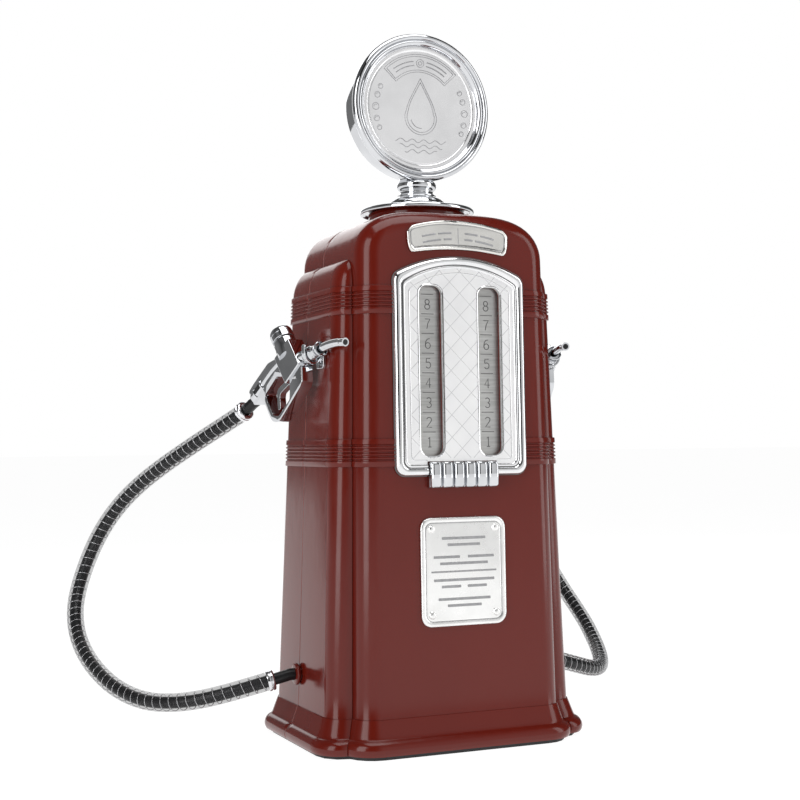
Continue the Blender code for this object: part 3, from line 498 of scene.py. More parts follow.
def band_rows(low, high):
    """A raised band with two plain edges and four ribs between five grooves."""
    rows = [(low - 0.05, 0.0), (low, 0.25), (low + 0.15, BAND_OUT - 0.15), (low + 0.4, BAND_OUT)]
    first = high - 13.65
    for i in range(5):
        z = first + 2.36 * i
        groove = BAND_OUT - 0.75
        rows += [(z - 0.75, BAND_OUT), (z - 0.35, groove), (z + 0.35, groove), (z + 0.75, BAND_OUT)]
        if i < 4:
            rows.append((z + 1.18, BAND_OUT + 0.12))
    rows += [(high - 0.4, BAND_OUT), (high - 0.15, BAND_OUT - 0.15), (high, 0.25), (high + 0.05, 0.0)]
    return rows


def shell_rows():
    """Heights up the shell, each with how far it stands out from the plain taper."""
    bead = 6.35
    start = math.asin((2.6 - bead) / bead)
    rows = []
    for i in range(13):
        a = start + (math.radians(71.5) - start) * i / 12
        rows.append((bead + bead * math.sin(a), 2.8 + bead * math.cos(a)))
    rows += [(12.9, 4.45), (14.5, 3.9), (18.0, 2.75), (23.6, 0.85)]
    rows += [(Z_PLINTH, 0.7), (Z_PLINTH + 0.15, 0.1), (24.6, 0.0)]
    rows += [(z, 0.0) for z in range(40, 181, 20)]
    rows += band_rows(*LOWER_BAND)
    rows += [(z, 0.0) for z in range(220, 276, 18)]
    rows += band_rows(*UPPER_BAND)
    rise = Z_WING_TOP - UPPER_BAND[1]
    rows += [(UPPER_BAND[1] + rise * math.sin(math.radians(b)), 0.0) for b in range(10, 91, 8)]
    rows += [(Z_WING_TOP + 0.3, 0.0), (Z_SPRING, 0.0)]
    rise = Z_CROWN - Z_SPRING
    angles = (7, 14, 21, 28, 35, 42, 49, 56, 62, 68, 73, 78, 82, 86, 89)
    rows += [(Z_SPRING + rise * math.sin(math.radians(c)), 0.0) for c in angles]
    return rows


def cutter(name, bm, matrix=None):
    if matrix is not None:
        bmesh.ops.transform(bm, matrix=matrix, verts=bm.verts)
    bmesh.ops.recalc_face_normals(bm, faces=bm.faces)
    bmesh.ops.scale(bm, vec=(MM, MM, MM), verts=bm.verts)
    mesh = bpy.data.meshes.new(name)
    bm.to_mesh(mesh)
    bm.free()
    obj = bpy.data.objects.new(name, mesh)
    bpy.context.scene.collection.objects.link(obj)
    return obj


def cut(obj, *tools, rough=False, sharp=None):
    """Cuts the tools from the piece for good, and removes them. A rough piece may cross itself."""
    for tool in tools:
        modifier = obj.modifiers.new("cut", "BOOLEAN")
        modifier.object = tool
        modifier.solver = "EXACT"
        modifier.use_self = rough
        modifier.use_hole_tolerant = rough
    bake(obj)
    for tool in tools:
        bpy.data.objects.remove(tool)
    if sharp:
        obj.data.set_sharp_from_angle(angle=math.radians(sharp))


def bake(obj):
    """Makes the piece's modifiers part of its mesh."""
    graph = bpy.context.evaluated_depsgraph_get()
    graph.update()
    mesh = bpy.data.meshes.new_from_object(obj.evaluated_get(graph))
    obj.modifiers.clear()
    obj.data = mesh


def make_shells():
    for name, face in (("front_shell", FRONT), ("rear_shell", REAR)):
        bm = bmesh.new()
        rows = [[bm.verts.new(p) for p in section(z, out, face)] for z, out in shell_rows()]
        for lower, upper in zip(rows, rows[1:]):
            for i in range(len(lower) - 1):
                bm.faces.new((lower[i], lower[i + 1], upper[i + 1], upper[i]))
        top = rows[-1]
        half = len(top) // 2
        for i in range(half):
            j = len(top) - 1 - i
            if j - i > 2:
                bm.faces.new((top[i], top[i + 1], top[j - 1], top[j]))
        shell = finish_mesh(name + "_skin", bm, "body", "pump", "body", (name,), sharp=38)
        thick = shell.modifiers.new("wall", "SOLIDIFY")
        thick.thickness = WALL * MM
        thick.offset = -1
        hole = turned([(FILL_RADIUS, 380), (FILL_RADIUS, 338)], 64)
        tools = [cutter("fill_hole", hole, Matrix.Translation((0, STEM_Y, 0)))]
        if name == "front_shell":
            half, low, high, radius = WINDOW
            slot = rounded_box(half + 0.1, low - 0.1, high + 0.1, radius)
            for sign in SIDES.values():
                place = lean_matrix(MIDDLE) @ Matrix.Translation((sign * WINDOW_X, 0, 0))
                tools.append(cutter("window", prism(slot, -9, 9), place))
        cut(shell, *tools, rough=True, sharp=38)


# ---- front trim ----
def lean_matrix(z):
    """Stands an XY outline against the sloping front, level with height z."""
    slope = math.atan((taper(FRONT["main"], 0) - taper(FRONT["main"], 100)) / 100)
    at = Matrix.Translation((0, SEAM_Y - taper(FRONT["main"], z) - 0.35, z))
    stand = Matrix(((1, 0, 0, 0), (0, 0, -1, 0), (0, 1, 0, -z), (0, 0, 0, 1)))
    return at @ Matrix.Rotation(-slope, 4, "X") @ stand


def arched(half, low, spring, crown, radius, steps=8, top_steps=24):
    """Closed outline with a shallow arched top that meets the sides in small round corners."""
    rise = crown - spring
    big = (half * half + rise * rise) / (2 * rise)
    middle = crown - big
    corner = middle + math.sqrt((big - radius) ** 2 - (half - radius) ** 2)
    turn = math.degrees(math.atan2(corner - middle, half - radius))
    points = arc((half - radius, corner), radius, 0, turn, steps)
    points += arc((0, middle), big, turn, 180 - turn, top_steps)[1:-1]
    points += arc((-half + radius, corner), radius, 180 - turn, 180, steps)
    points += arc((-half + radius, low + radius), radius, 180, 270, steps)
    points += arc((half - radius, low + radius), radius, 270, 360, steps)
    return points


def bezel_ring(inset, height):
    radius = max(7.0 - inset * 0.42, 2.4)
    outline = arched(47.0 - inset, 176.7 + inset * 0.92, 305.9 - inset * 0.86, 318.7 - inset * 0.97, radius)
    return [(x, y, height) for x, y in outline]


WINDOW_X = 21.2
WINDOW = (8.3, 189.5, 299.5, 5.8)
MIDDLE = 244.5


def foot_cutter(at, top=186.0):
    """Clears the bezel where the grille's bars overlap its foot."""
    half = 25.0
    return cutter("foot", prism([(-half, 160), (half, 160), (half, top), (-half, top)], -1, 9), at)


def bezel_loop(name, steps, mat, at, replaces=()):
    """A closed bead that follows the bezel's outline, from (inset, height) pairs."""
    bead = loft([bezel_ring(*step) for step in steps], closed=True)
    return finish_mesh(name, bead, mat, "pump", "chrome", replaces, at)


def make_bezel():
    at = lean_matrix(MIDDLE)
    steps = [(0.0, 0.0), (0.0, 1.6), (0.35, 2.5), (1.1, 3.4), (2.2, 3.95), (3.4, 4.0), (4.5, 3.6), (5.2, 2.9)]
    steps += [(5.45, 2.45), (5.7, 2.4), (6.1, 2.75), (6.7, 2.95), (7.3, 2.85), (7.8, 2.4), (8.0, 1.95)]
    steps += [(8.0, 0.0)]
    cut(bezel_loop("bezel_rim", steps, "panel_chrome", at, ("bezel",)), foot_cutter(at), sharp=35)
    plate = loft([bezel_ring(7.9, 0.0), bezel_ring(7.9, 1.9)])
    panel = finish_mesh("bezel_panel", plate, "quilt", "pump", "chrome", matrix=at)
    shifts = {side: Matrix.Translation((sign * WINDOW_X, 0, 0)) for side, sign in SIDES.items()}
    tools = [cutter("window", prism(rounded_box(*WINDOW), -2, 8), at @ shift) for shift in shifts.values()]
    cut(panel, *tools, foot_cutter(at), sharp=30)
    # Painted shade: a dark ring laid in the rim's groove, standing in for the shade that falls there.
    dark = [(5.35, 2.3), (5.45, 2.62), (5.75, 2.66), (6.05, 2.62), (6.15, 2.3)]
    cut(bezel_loop("bezel_rim_groove_painted_shade", dark, "ink_and_painted_shade", at), foot_cutter(at))
    # Painted shade: a dark ring along the bezel's foot, standing in for the shade where it meets the body.
    edge = [(-0.45, 0.1), (-0.45, 0.7), (-0.1, 0.9), (0.2, 0.9), (0.2, 0.1)]
    cut(bezel_loop("bezel_edge_painted_shade", edge, "ink_and_painted_shade", at), foot_cutter(at))
    border = [(10.6, 1.8), (10.6, 2.05), (10.9, 2.15), (11.2, 2.05), (11.2, 1.8)]
    cut(bezel_loop("bezel_inner_line", border, "panel_chrome", at), foot_cutter(at, 188.0))
    half, low, high, radius = WINDOW
    for side, shift in shifts.items():
        rings = []
        profile = [(1.1, 1.7), (0.95, 2.2), (0.5, 2.45), (0.05, 2.3), (-0.1, 1.8), (-0.15, 0.0), (0.6, 0.0)]
        for out, height in profile:
            outline = rounded_box(half + out, low - out, high + out, radius + out)
            rings.append([(x, y, height) for x, y in outline])
        name = f"window_rim_{side}"
        finish_mesh(name, loft(rings, closed=True), "panel_chrome", "pump", "chrome", matrix=at @ shift)


def stroke(bm, points, width, low, high):
    """Adds a round-cornered bar of the given width along a polyline in the XY plane."""
    points = [Vector(p) for p in points]
    left, right = [], []
    for i, here in enumerate(points):
        before = points[max(i - 1, 0)]
        after = points[min(i + 1, len(points) - 1)]
        along = (after - before).normalized()
        normal = Vector((-along.y, along.x)) * width / 2
        left.append(here + normal)
        right.append(here - normal)
    outline = left + right[::-1]
    inner = [p.lerp(outline[-1 - i], 0.22) for i, p in enumerate(outline)]
    base = [bm.verts.new((p.x, p.y, low)) for p in outline]
    top = [bm.verts.new((p.x, p.y, high)) for p in inner]
    for i in range(len(base)):
        j = (i + 1) % len(base)
        bm.faces.new((base[i], base[j], top[j], top[i]))
    for i in range(len(left) - 1):
        j = len(base) - 1 - i
        bm.faces.new((top[i], top[i + 1], top[j - 1], top[j]))


DIGITS = {
    1: [[(-0.9, 2.2), (0.2, 3.2), (0.2, -3.2)], [(-0.9, -3.2), (1.3, -3.2)]],
    2: [oval(0, 1.6, 1.7, 1.6, 165, -35, 8) + [(-1.7, -3.2), (1.8, -3.2)]],
    3: [oval(0, 1.6, 1.6, 1.6, 150, -80, 8), oval(0, -1.6, 1.75, 1.6, 80, -150, 8)],
    4: [[(0.8, -3.2), (0.8, 3.2), (-1.8, -1.2), (1.8, -1.2)]],
    5: [[(1.5, 3.2), (-1.2, 3.2), (-1.4, 0.5)] + oval(0, -1.2, 1.75, 2.0, 120, -150, 9)],
    6: [oval(0, -1.3, 1.75, 1.9, 0, 360, 12), [(-1.72, -1.0), (-1.5, 1.2), (-0.4, 2.8), (1.2, 3.2)]],
    7: [[(-1.7, 3.2), (1.8, 3.2), (0.2, 0.2), (-0.5, -3.2)]],
    8: [oval(0, 1.6, 1.5, 1.55, 0, 360, 12), oval(0, -1.6, 1.8, 1.65, 0, 360, 12)],
}


TICK_TOP = 294.2
TICK_PITCH = 12.75


def make_gauges():
    """Two marked strips behind the windows, with a tick above each numeral."""
    at = lean_matrix(MIDDLE)
    half, low, high, radius = WINDOW
    for side, sign in SIDES.items():
        shift = Matrix.Translation((sign * WINDOW_X, 0, 0))
        strip = prism(rounded_box(half + 1.6, low - 1.6, high + 1.6, radius + 1.2), -3.9, -2.75)
        node = f"gauge_strip_{side}"
        finish_mesh(f"{node}_face", strip, "gauge", "pump", "gauge", (node,), at @ shift)
        bm = bmesh.new()
        for i in range(8):
            z = TICK_TOP - TICK_PITCH * i
            stroke(bm, [(-4.4, z), (4.4, z)], 0.5, -2.8, -2.5)
            for line in DIGITS[8 - i]:
                stroke(bm, [(x, y + z - 6.5) for x, y in line], 0.62, -2.8, -2.5)
        finish_mesh(f"gauge_marks_{side}", bm, "ink_and_painted_shade", "pump", "gauge", matrix=at @ shift)


def make_grille():
    """Six rounded upright bars, with a shoulder where they overlap the bezel."""
    at = lean_matrix(177.1)
    bm = bmesh.new()
    pitch = 49.4 / 6
    for i in range(6):
        middle = -24.7 + pitch * (i + 0.5)
        rings = []
        for z, grow, rise in (
            (168.6, -0.9, 0.1), (168.6, -0.5, 3.2), (169.3, -0.1, 5.6), (170.6, 0.0, 6.7), (176.0, 0.0, 7.1),
            (183.0, 0.0, 7.1), (184.8, -0.1, 6.7), (185.6, -0.4, 5.8), (185.7, -0.9, 0.1),
        ):
            half = pitch / 2 - 0.55 + grow
            side = [(-half, 0.0), (-half, rise * 0.72), (-half + 0.35, rise * 0.88)]
            side += [(-half + 1.0, rise * 0.97), (-half + 1.8, rise)]
            ring = side + [(-x, y) for x, y in reversed(side)]
            rings.append([(middle + x, z, y) for x, y in ring])
        loft(rings, bm=bm)
    backing = prism([(-24.4, 169.4), (24.4, 169.4), (24.4, 185.2), (-24.4, 185.2)], 0.05, 3.4)
    mesh = bpy.data.meshes.new("backing")
    backing.to_mesh(mesh)
    backing.free()
    bm.from_mesh(mesh)
    finish_mesh("grille_bars", bm, "chrome", "pump", "chrome", ("grille",), at, sharp=50)


def follow(obj):
    """Bends a piece back where the front rounds over into the roof."""
    for vert in obj.data.vertices:
        inset = max(CORNER - edge_distance(vert.co.x / MM, vert.co.z / MM), 0.0)
        vert.co.y += 0.8 * (CORNER - math.sqrt(CORNER**2 - inset**2)) * MM


def plaque_outline(inset, height):
    top = arc((0, 342.8 - 118), 118 - inset, 90 - 16.0, 90 + 16.0, 20)
    foot = arc((0, 323.5 - 190), 190 + inset, 90 + 9.5, 90 - 9.5, 16)
    x = 36.4 - inset
    left = [(-x, 334.2), (-x + 0.3, 327.0), (-x + 1.6, 322.4 + inset), (-x + 3.4, 320.8 + inset)]
    right = [(-px, pz) for px, pz in reversed(left)]
    outline = rounded(top + left + foot + right, 1.2, 3, True)
    return [(px, pz, height) for px, pz in outline]


def make_plaque():
    at = lean_matrix(331.55)
    steps = [(0.0, 0.0), (0.0, 1.0), (0.25, 1.5), (0.8, 1.8), (1.5, 1.8), (1.9, 1.45)]
    steps += [(2.3, 1.2), (2.9, 1.3), (3.4, 1.35)]
    face = loft([plaque_outline(*s) for s in steps])
    whole = face.verts[:] + face.edges[:] + face.faces[:]
    bmesh.ops.bisect_plane(face, geom=whole, plane_co=(0, 336, 0), plane_no=(0, 1, 0))
    follow(finish_mesh("header_plaque_face", face, "pewter", "pump", "pewter", ("header_plaque",), at))
    # Plain raised bars in two groups either side of a middle rule, following the arch.
    bm = bmesh.new()
    border = [(x, y) for x, y, height in plaque_outline(2.6, 0)]
    stroke(bm, border + border[:2], 0.4, 1.2, 1.5)
    for sign in (-1, 1):
        for row, spans in ((109.6, ((2.6, 7.4), (8.6, 13.6))), (105.6, ((2.6, 5.6), (6.8, 13.8)))):
            for start, end in spans:
                line = arc((0, 342.8 - 118), row, 90 - sign * start, 90 - sign * end, 10)
                stroke(bm, line, 1.5, 1.2, 1.75)
    stroke(bm, [(0, 337.6), (0, 327.2)], 0.6, 1.2, 1.7)
    # The bars take the darker relief-line tone: painted shade along the raised bars.
    follow(finish_mesh("header_plaque_bars", bm, "line", "pump", "pewter", matrix=at, sharp=20))


def make_plate():
    at = lean_matrix(114.9)
    steps = [(0.0, 0.0), (0.0, 0.9), (0.3, 1.35), (0.9, 1.6), (2.6, 1.6), (3.1, 1.25)]
    steps += [(3.5, 1.1), (3.9, 1.25), (4.4, 1.3)]
    rings = []
    for inset, height in steps:
        outline = rounded_box(30.4 - inset, 80.0 + inset, 149.8 - inset, max(7.2 - inset * 0.8, 3.0))
        rings.append([(x, y, height) for x, y in outline])
    finish_mesh("lower_plate_face", loft(rings), "plate", "pump", "pewter", ("lower_plate",), at)
    # Plain raised bars where a plate like this carries its wording, and a rule across the middle.
    bm = bmesh.new()
    border = rounded_box(30.4 - 3.4, 80.0 + 3.4, 149.8 - 3.4, 4.6)
    stroke(bm, border + border[:2], 0.4, 1.05, 1.35)
    rows = [(136.4, [(-15.5, 15.5)]), (132.2, [(-11.5, 11.5)]), (124.4, [(-21.5, -3.0), (3.0, 21.5)])]
    rows += [(120.2, [(-17.0, 17.0)]), (109.6, [(-21.5, 21.5)]), (105.4, [(-16.0, -2.5), (2.5, 16.0)])]
    rows += [(97.4, [(-18.5, 18.5)]), (93.2, [(-12.0, 12.0)])]
    for z, spans in rows:
        for start, end in spans:
            stroke(bm, [(start, z), (end, z)], 1.9, 1.2, 1.75)
    stroke(bm, [(-23.2, 115.0), (23.2, 115.0)], 1.3, 1.2, 1.7)
    # The bars take the darker relief-line tone: painted shade along the raised bars.
    finish_mesh("lower_plate_bars", bm, "line", "pump", "pewter", matrix=at, sharp=20)
    number = 0
    for x in (-23.0, 23.0):
        for z in (87.7, 142.4):
            number += 1
            node = f"rivet_{number}"
            spot = at @ Matrix.Translation((x, z, 0))
            dome = [(0, 3.0), (1.0, 2.92), (1.8, 2.6), (2.35, 2.1), (2.65, 1.5), (2.7, 1.1)]
            dome += [(1.2, 1.1), (0, 1.1)]
            finish_mesh(f"{node}_head", turned(dome, 28), "plate", "pump", "chrome", (node,), spot)


# ---- lid and globe ----
def lid_piece(name, profile, steps, at, node, mat="chrome", loop=False, sharp=35):
    """A turned part of the lid that stands for one CAD node."""
    solid = turned(profile, steps, loop)
    return finish_mesh(name, solid, mat, "lid", "chrome", (node,), at, sharp=sharp)


def make_lid():
    axis = Matrix.Translation((0, STEM_Y, 0))
    collar = [(26.6, 357.0), (32.6, 357.0), (33.4, 356.2), (33.5, 353.5), (33.5, 347.6), (29.6, 347.2)]
    collar = turned(rounded(collar + [(29.6, 344.6), (26.6, 344.6)], 0.8, 4, True), 72, loop=True)
    finish_mesh("filler_collar_ring", collar, "body", "pump", "body", ("filler_collar",), axis)
    dish = [(17.9, 360.5), (20.5, 360.3), (22.5, 360.1), (28.0, 359.9), (34.0, 359.6), (37.0, 359.35)]
    dish += [(38.8, 358.9), (39.6, 358.0), (39.75, 357.0), (39.5, 356.1), (39.0, 355.65), (38.2, 355.65)]
    dish += [(37.4, 356.2), (36.4, 357.5), (24.2, 357.6), (24.0, 357.3), (24.0, 350.5), (23.7, 350.1)]
    dish += [(22.3, 350.1), (22.0, 350.5), (22.0, 358.5), (18.0, 358.5)]
    dish = rounded(dish, 0.4, 2, True)
    lid_piece("lid_flange_turned", dish, 112, axis, "lid_flange", loop=True, sharp=50)
    stem = [(20.0, 360.7), (20.5, 361.3), (20.4, 362.4), (19.6, 364.0), (17.9, 365.7), (15.6, 367.1)]
    stem += [(13.9, 367.9), (13.6, 368.3), (13.7, 368.8), (13.1, 369.3), (12.0, 370.1), (11.5, 371.0)]
    stem += [(11.55, 371.8), (12.2, 372.4), (13.2, 373.3), (13.7, 374.7), (13.75, 376.2)]
    stem += [(13.3, 377.6), (12.4, 378.7)]
    stem += [(11.7, 379.6), (11.6, 380.4), (12.2, 381.6), (13.4, 383.0)]
    stem = [(0.0, 360.7)] + stem + [(13.4, 386.0), (0.0, 386.0)]
    stem = lid_piece("lid_stem_turned", stem, 72, axis, "lid_stem", sharp=60)
    saddle = turned([(51.2, 30), (51.2, 6.6), (48.6, 6.6), (48.6, -30)], 120)
    cut(stem, cutter("saddle", saddle, aim((0, STEM_Y, GLOBE_Z), (0, -1, 0))), sharp=60)


def make_globe():
    at = aim((0, STEM_Y, GLOBE_Z), (0, -1, 0)) @ Matrix.Rotation(math.pi, 4, "Z")
    drum = [(46.5, 9.0), (47.6, 8.9), (48.3, 8.2), (48.5, 6.5), (48.5, -8.4), (48.3, -9.4), (47.7, -10.4)]
    drum += [(46.4, -11.6), (44.9, -12.4), (44.3, -12.6), (44.3, -9.0), (46.0, -7.5), (46.5, 6.0)]
    lid_piece("globe_drum_shell", drum, 128, at, "globe_drum", loop=True, sharp=50)
    ring = [(48.9, 6.9), (50.0, 7.3), (50.8, 8.3), (51.05, 9.6), (50.9, 10.9), (50.2, 12.1), (49.0, 12.9)]
    ring += [(47.9, 12.9), (47.1, 12.3), (46.7, 11.4), (46.5, 11.1), (46.2, 11.4), (45.7, 12.0), (44.9, 12.2)]
    ring += [(44.1, 11.9), (43.2, 10.9), (42.5, 9.8), (42.1, 9.0), (42.0, 7.0), (46.6, 6.6)]
    lid_piece("globe_ring_turned", ring, 144, at, "globe_ring", loop=True, sharp=55)
    face = [(0.0, 8.7), (38.0, 8.7), (38.6, 8.6), (38.9, 8.3), (39.3, 8.3), (39.6, 8.6), (40.0, 8.8)]
    face += [(42.0, 8.8), (42.0, 7.2), (0.0, 7.2)]
    lid_piece("globe_face_disc", face, 128, at, "globe_face", "face", sharp=30)
    back = [(0.0, -16.3), (14.0, -16.2), (28.0, -15.6), (38.0, -14.5), (41.5, -13.8), (43.4, -13.0)]
    back += [(44.1, -12.2), (44.1, -10.0), (0.0, -10.0)]
    lid_piece("globe_back_cover", back, 112, at, "globe_back")
    make_ornament(at @ Matrix.Rotation(math.pi, 4, "Z"))


def make_ornament(at):
    """Raised lines on the globe's face: an arched banner, side beads and a plain drop over waves."""
    bm = bmesh.new()
    low, high = 8.6, 9.05
    for inner, outer, wide in ((25.0, 37.2, 47.0), (26.4, 35.8, 44.6)):
        corners = arc((0, 0), outer, 90 - wide, 90 + wide, 40) + arc((0, 0), inner, 90 + wide, 90 - wide, 40)
        stroke(bm, corners + corners[:2], 0.45, low, high)
    for start, end in ((9.0, 38.0), (-38.0, -9.0)):
        for radius in (29.7, 32.5):
            stroke(bm, arc((0, 0), radius, 90 - start, 90 - end, 16), 0.9, low, high + 0.1)
    stroke(bm, oval(0, 31.1, 2.8, 2.8, 0, 360, 20), 0.5, low, high)
    stroke(bm, oval(0, 31.1, 1.3, 1.3, 0, 360, 14), 0.5, low, high)
    for sign in (-1, 1):
        for angle, size in ((27, 1.7), (16, 2.0), (2, 2.4), (-12, 2.0), (-23, 1.7)):
            turn = math.radians(angle)
            x, z = 33.6 * math.cos(turn) * sign, 33.6 * math.sin(turn) - 2.5
            stroke(bm, oval(x, z, size, size, 0, 360, 18), 0.45, low, high)
            stroke(bm, oval(x - 0.2, z + 0.2, size * 0.45, size * 0.45, 40, 200, 8), 0.35, low, high)
    for size in (1.0, 0.86):
        tip, low_z = 19.5 * size + 1.0, -6.5
        side = rounded([(0, tip), (9.4 * size, 3.0), (11.6 * size, -4.6)], 5.0)
        round_foot = oval(0, low_z, 12.0 * size, 12.0 * size, 8, -188, 30)
        drop = side + round_foot + [(-x, z) for x, z in reversed(side)]
        stroke(bm, drop, 0.5, low, high)
    stroke(bm, oval(0, -6.5, 7.6, 7.6, 195, 275, 12), 0.6, low, high)
    for z, reach in ((-23.0, 19), (-26.6, 16), (-30.2, 12)):
        wave = [(x / 2, z + 1.1 * math.sin(x * 0.36)) for x in range(-reach * 2, reach * 2 + 1)]
        stroke(bm, wave, 0.5, low, high)
    # The relief lines take the darker relief-line tone: painted shade along the raised lines.
    finish_mesh("globe_face_relief", bm, "line", "lid", "chrome", matrix=at, sharp=20)


# ---- nozzles ----
def nozzle_axes(sign):
    back = Vector((sign * math.sin(NOZZLE_YAW), math.cos(NOZZLE_YAW), 0))
    up = Vector((0, 0, 1))
    turn = Matrix((back, up, back.cross(up))).transposed().to_4x4()
    return Matrix.Translation((RING.x * -sign, RING.y, RING.z)) @ turn


CASTING = [
    (17.5, -10.0), (31.3, 8.4), (48.1, -4.2), (58.0, -6.8), (76.5, -20.0), (82.6, -25.2), (75.4, -34.8),
    (67.5, -29.5), (61.5, -34.5), (55.5, -43.0), (53.2, -45.4), (50.0, -46.4), (46.0, -46.4), (43.0, -45.2),
    (31.0, -35.0), (18.6, -24.0), (16.8, -21.0),
]
LOOP = [
    (31.0, -17.5), (31.0, -31.8), (43.6, -41.8), (46.5, -43.0), (49.4, -43.0), (52.2, -41.0), (61.8, -28.0),
    (46.0, -15.5),
]
TRIGGER = [
    (-2.7, 0.0), (-1.9, 1.9), (0.0, 2.7), (1.9, 1.9), (3.5, 1.1), (13.0, -1.6), (23.4, -7.2), (25.2, -10.0),
    (24.8, -13.6), (23.6, -21.6), (20.4, -20.8), (21.4, -13.0), (20.6, -10.4), (11.0, -5.2), (0.0, -2.7),
    (-1.9, -1.9),
]


def barrel_frame(along=0.0):
    return aim(BARREL_MID + BARREL * along, BARREL)


def bent_rod(route, radii, steps):
    """Round rod along a route of points in the nozzle's own plane."""
    rings = []
    for i, (point, radius) in enumerate(zip(route, radii)):
        ahead, behind = route[min(i + 1, len(route) - 1)], route[max(i - 1, 0)]
        along = Vector((ahead[0] - behind[0], ahead[1] - behind[1]))
        along = along.normalized() if along.length > 1e-6 else Vector((-1, 0))
        ring = []
        for k in range(steps):
            a = 2 * math.pi * k / steps
            out, rise = radius * math.cos(a), radius * math.sin(a)
            ring.append((point[0] - along.y * out, point[1] + along.x * out, rise))
        rings.append(ring)
    return loft(rings)


def make_nozzle(side, sign):
    at = nozzle_axes(sign)
    body = f"nozzle_{side}"

    def piece(name, bm, mat, node, matrix=None, ride=body, slot="chrome", **more):
        local = at if matrix is None else at @ matrix
        nodes = (f"nozzle_{side}_{node}",) if node else ()
        return finish_mesh(f"{body}_{name}", bm, mat, ride, slot, nodes, local, **more)

    outline = rounded(CASTING, 1.6, 4, True)
    casting = piece("casting_body", prism(outline, -4.5, 4.5), "chrome", "casting")
    boss = turned([(4.9, 26), (4.9, 16.6), (4.6, 16.4)], 40)
    neck_line = Vector((16.6, -3.8, 0)).normalized()
    block = [(18.0, -9.2), (31.2, 8.3), (47.6, -4.1), (34.4, -21.6)]
    tools = [
        cutter("loop", prism(rounded(LOOP, 2.2, 4, True), -20, 20), at),
        cutter("slot", prism([(20.6, -22), (45, -22), (45, -12.6), (20.6, -12.6)], -2.9, 2.9), at),
        cutter("bore", turned([(3.2, 40), (3.2, -10)], 32), at @ barrel_frame()),
    ]
    cut(casting, *tools)
    bevel = casting.modifiers.new("edge", "BEVEL")
    bevel.width = 0.75 * MM
    bevel.segments = 3
    bevel.limit_method = "ANGLE"
    bevel.angle_limit = math.radians(40)
    bake(casting)
    casting.data.set_sharp_from_angle(angle=math.radians(35))
    piece("barrel_block", prism(rounded(block, 0.9, 4, True), -6.1, 6.1), "chrome", None, bevel=0.8)
    piece("neck_boss", boss, "chrome", None, aim((0, 0, 0), neck_line))
    route = [(45, -6.5), (53, -10.9), (61, -16.4), (66, -20.2), (71, -24.0), (75, -27.0)]
    route += [(77.6, -28.95), (79.0, -30.0)]
    handle = bent_rod(route, [5.2, 5.2, 5.1, 5.3, 5.5, 5.6, 5.7, 5.2], 40)
    piece("handle_grip", handle, "chrome", None)
    for along in (66.6, 74.4):
        band = [(5.7, -0.8), (6.1, -0.5), (6.1, 0.5), (5.7, 0.8)]
        spot = Vector((along, -16.4 - (along - 61) * 0.755, 0))
        piece(f"grip_band_{int(along)}", turned(band, 40), "chrome", None, aim(spot, (0.8, -0.6, 0)))
    inlay = rounded_box(1.7, -5.2, 5.2, 1.6, 6)
    for end, flip in (("in", -1), ("out", 1)):
        put = Matrix.Translation((70.3, -23.4, 5.15 * flip)) @ Matrix.Rotation(math.radians(53), 4, "Z")
        piece(f"grip_inlay_{end}", prism(inlay, -0.55, 0.55), "hose", None, put, bevel=0.3)

    cap = [(0, 16.3), (4.6, 16.1), (6.3, 15.7), (7.2, 14.9), (7.7, 13.8), (7.85, 12.6), (7.85, 11.2)]
    cap += [(7.6, 11.05), (7.6, 10.8), (7.85, 10.65), (7.85, 7.2), (7.6, 6.95), (0, 6.95)]
    barrel = [(0, 6.6), (7.3, 6.6), (7.6, 6.3), (7.7, 5.0), (7.7, 1.5), (7.9, 0.6), (7.9, -6.0), (0, -6.0)]
    piece("barrel_turned", turned(barrel, 56), "chrome", None, barrel_frame(), sharp=50)
    piece("cap_turned", turned(cap, 56), "chrome", "cap", barrel_frame())
    turns = 7
    count = turns * 16
    where = at @ barrel_frame()
    coil = []
    for i in range(count + 1):
        a = math.tau * turns * i / count
        coil.append(where @ Vector((2.4 * math.cos(a), 2.4 * math.sin(a), -4.5 + 10.4 * i / count)))
    springs = (f"nozzle_{side}_valve_spring",)
    curve_piece(f"{body}_valve_coil", coil, 0.45, "steel", 2, springs, body)

    collar = [(0, 16.2), (4.9, 16.2), (5.05, 15.9), (5.05, 12.6), (4.8, 12.3), (5.05, 12.0), (5.05, 10.1)]
    collar += [(4.85, 9.7), (4.35, 8.6), (4.2, 6.0), (4.25, 3.6), (4.7, 2.2), (5.05, 1.0), (5.1, 0.3)]
    collar += [(5.0, 0.0), (4.75, -0.1), (4.5, 0.2), (4.2, 1.6), (3.9, 2.7), (0, 2.7)]
    piece("collar_turned", turned(collar, 56), "chrome", "collar", aim((0, 0, 0), neck_line))
    route = [(2.6, -0.6), (0.0, 0.0), (-3.0, 0.85), (-6.0, 1.5), (-9.5, 2.1), (-13.0, 2.5), (-17.0, 2.8)]
    route += [(-21.0, 2.85), (-22.0, 2.83), (-22.4, 2.82), (-26.8, 2.55)]
    radii = [2.9, 2.9, 2.9, 2.85, 2.8, 2.75, 2.7, 2.65, 2.6, 2.9, 2.75]
    spout = piece("spout_tube", bent_rod(route, radii, 40), "chrome", "spout", sharp=40)
    tip = turned([(1.85, 6), (1.85, -7)], 36)
    cut(spout, cutter("tip", tip, at @ aim((-27.0, 2.5, 0), (-1, -0.05, 0))), sharp=40)
    # Painted shade: a black plug just inside the spout's mouth stands in for the shade down the bore.
    plug = turned([(0, 0.3), (1.7, 0.2), (1.84, 0.0), (1.84, -3.0), (0, -3.0)], 28)
    piece("spout_bore_painted_shade", plug, "hose", None, aim((-26.3, 2.55, 0), (-1, -0.05, 0)))

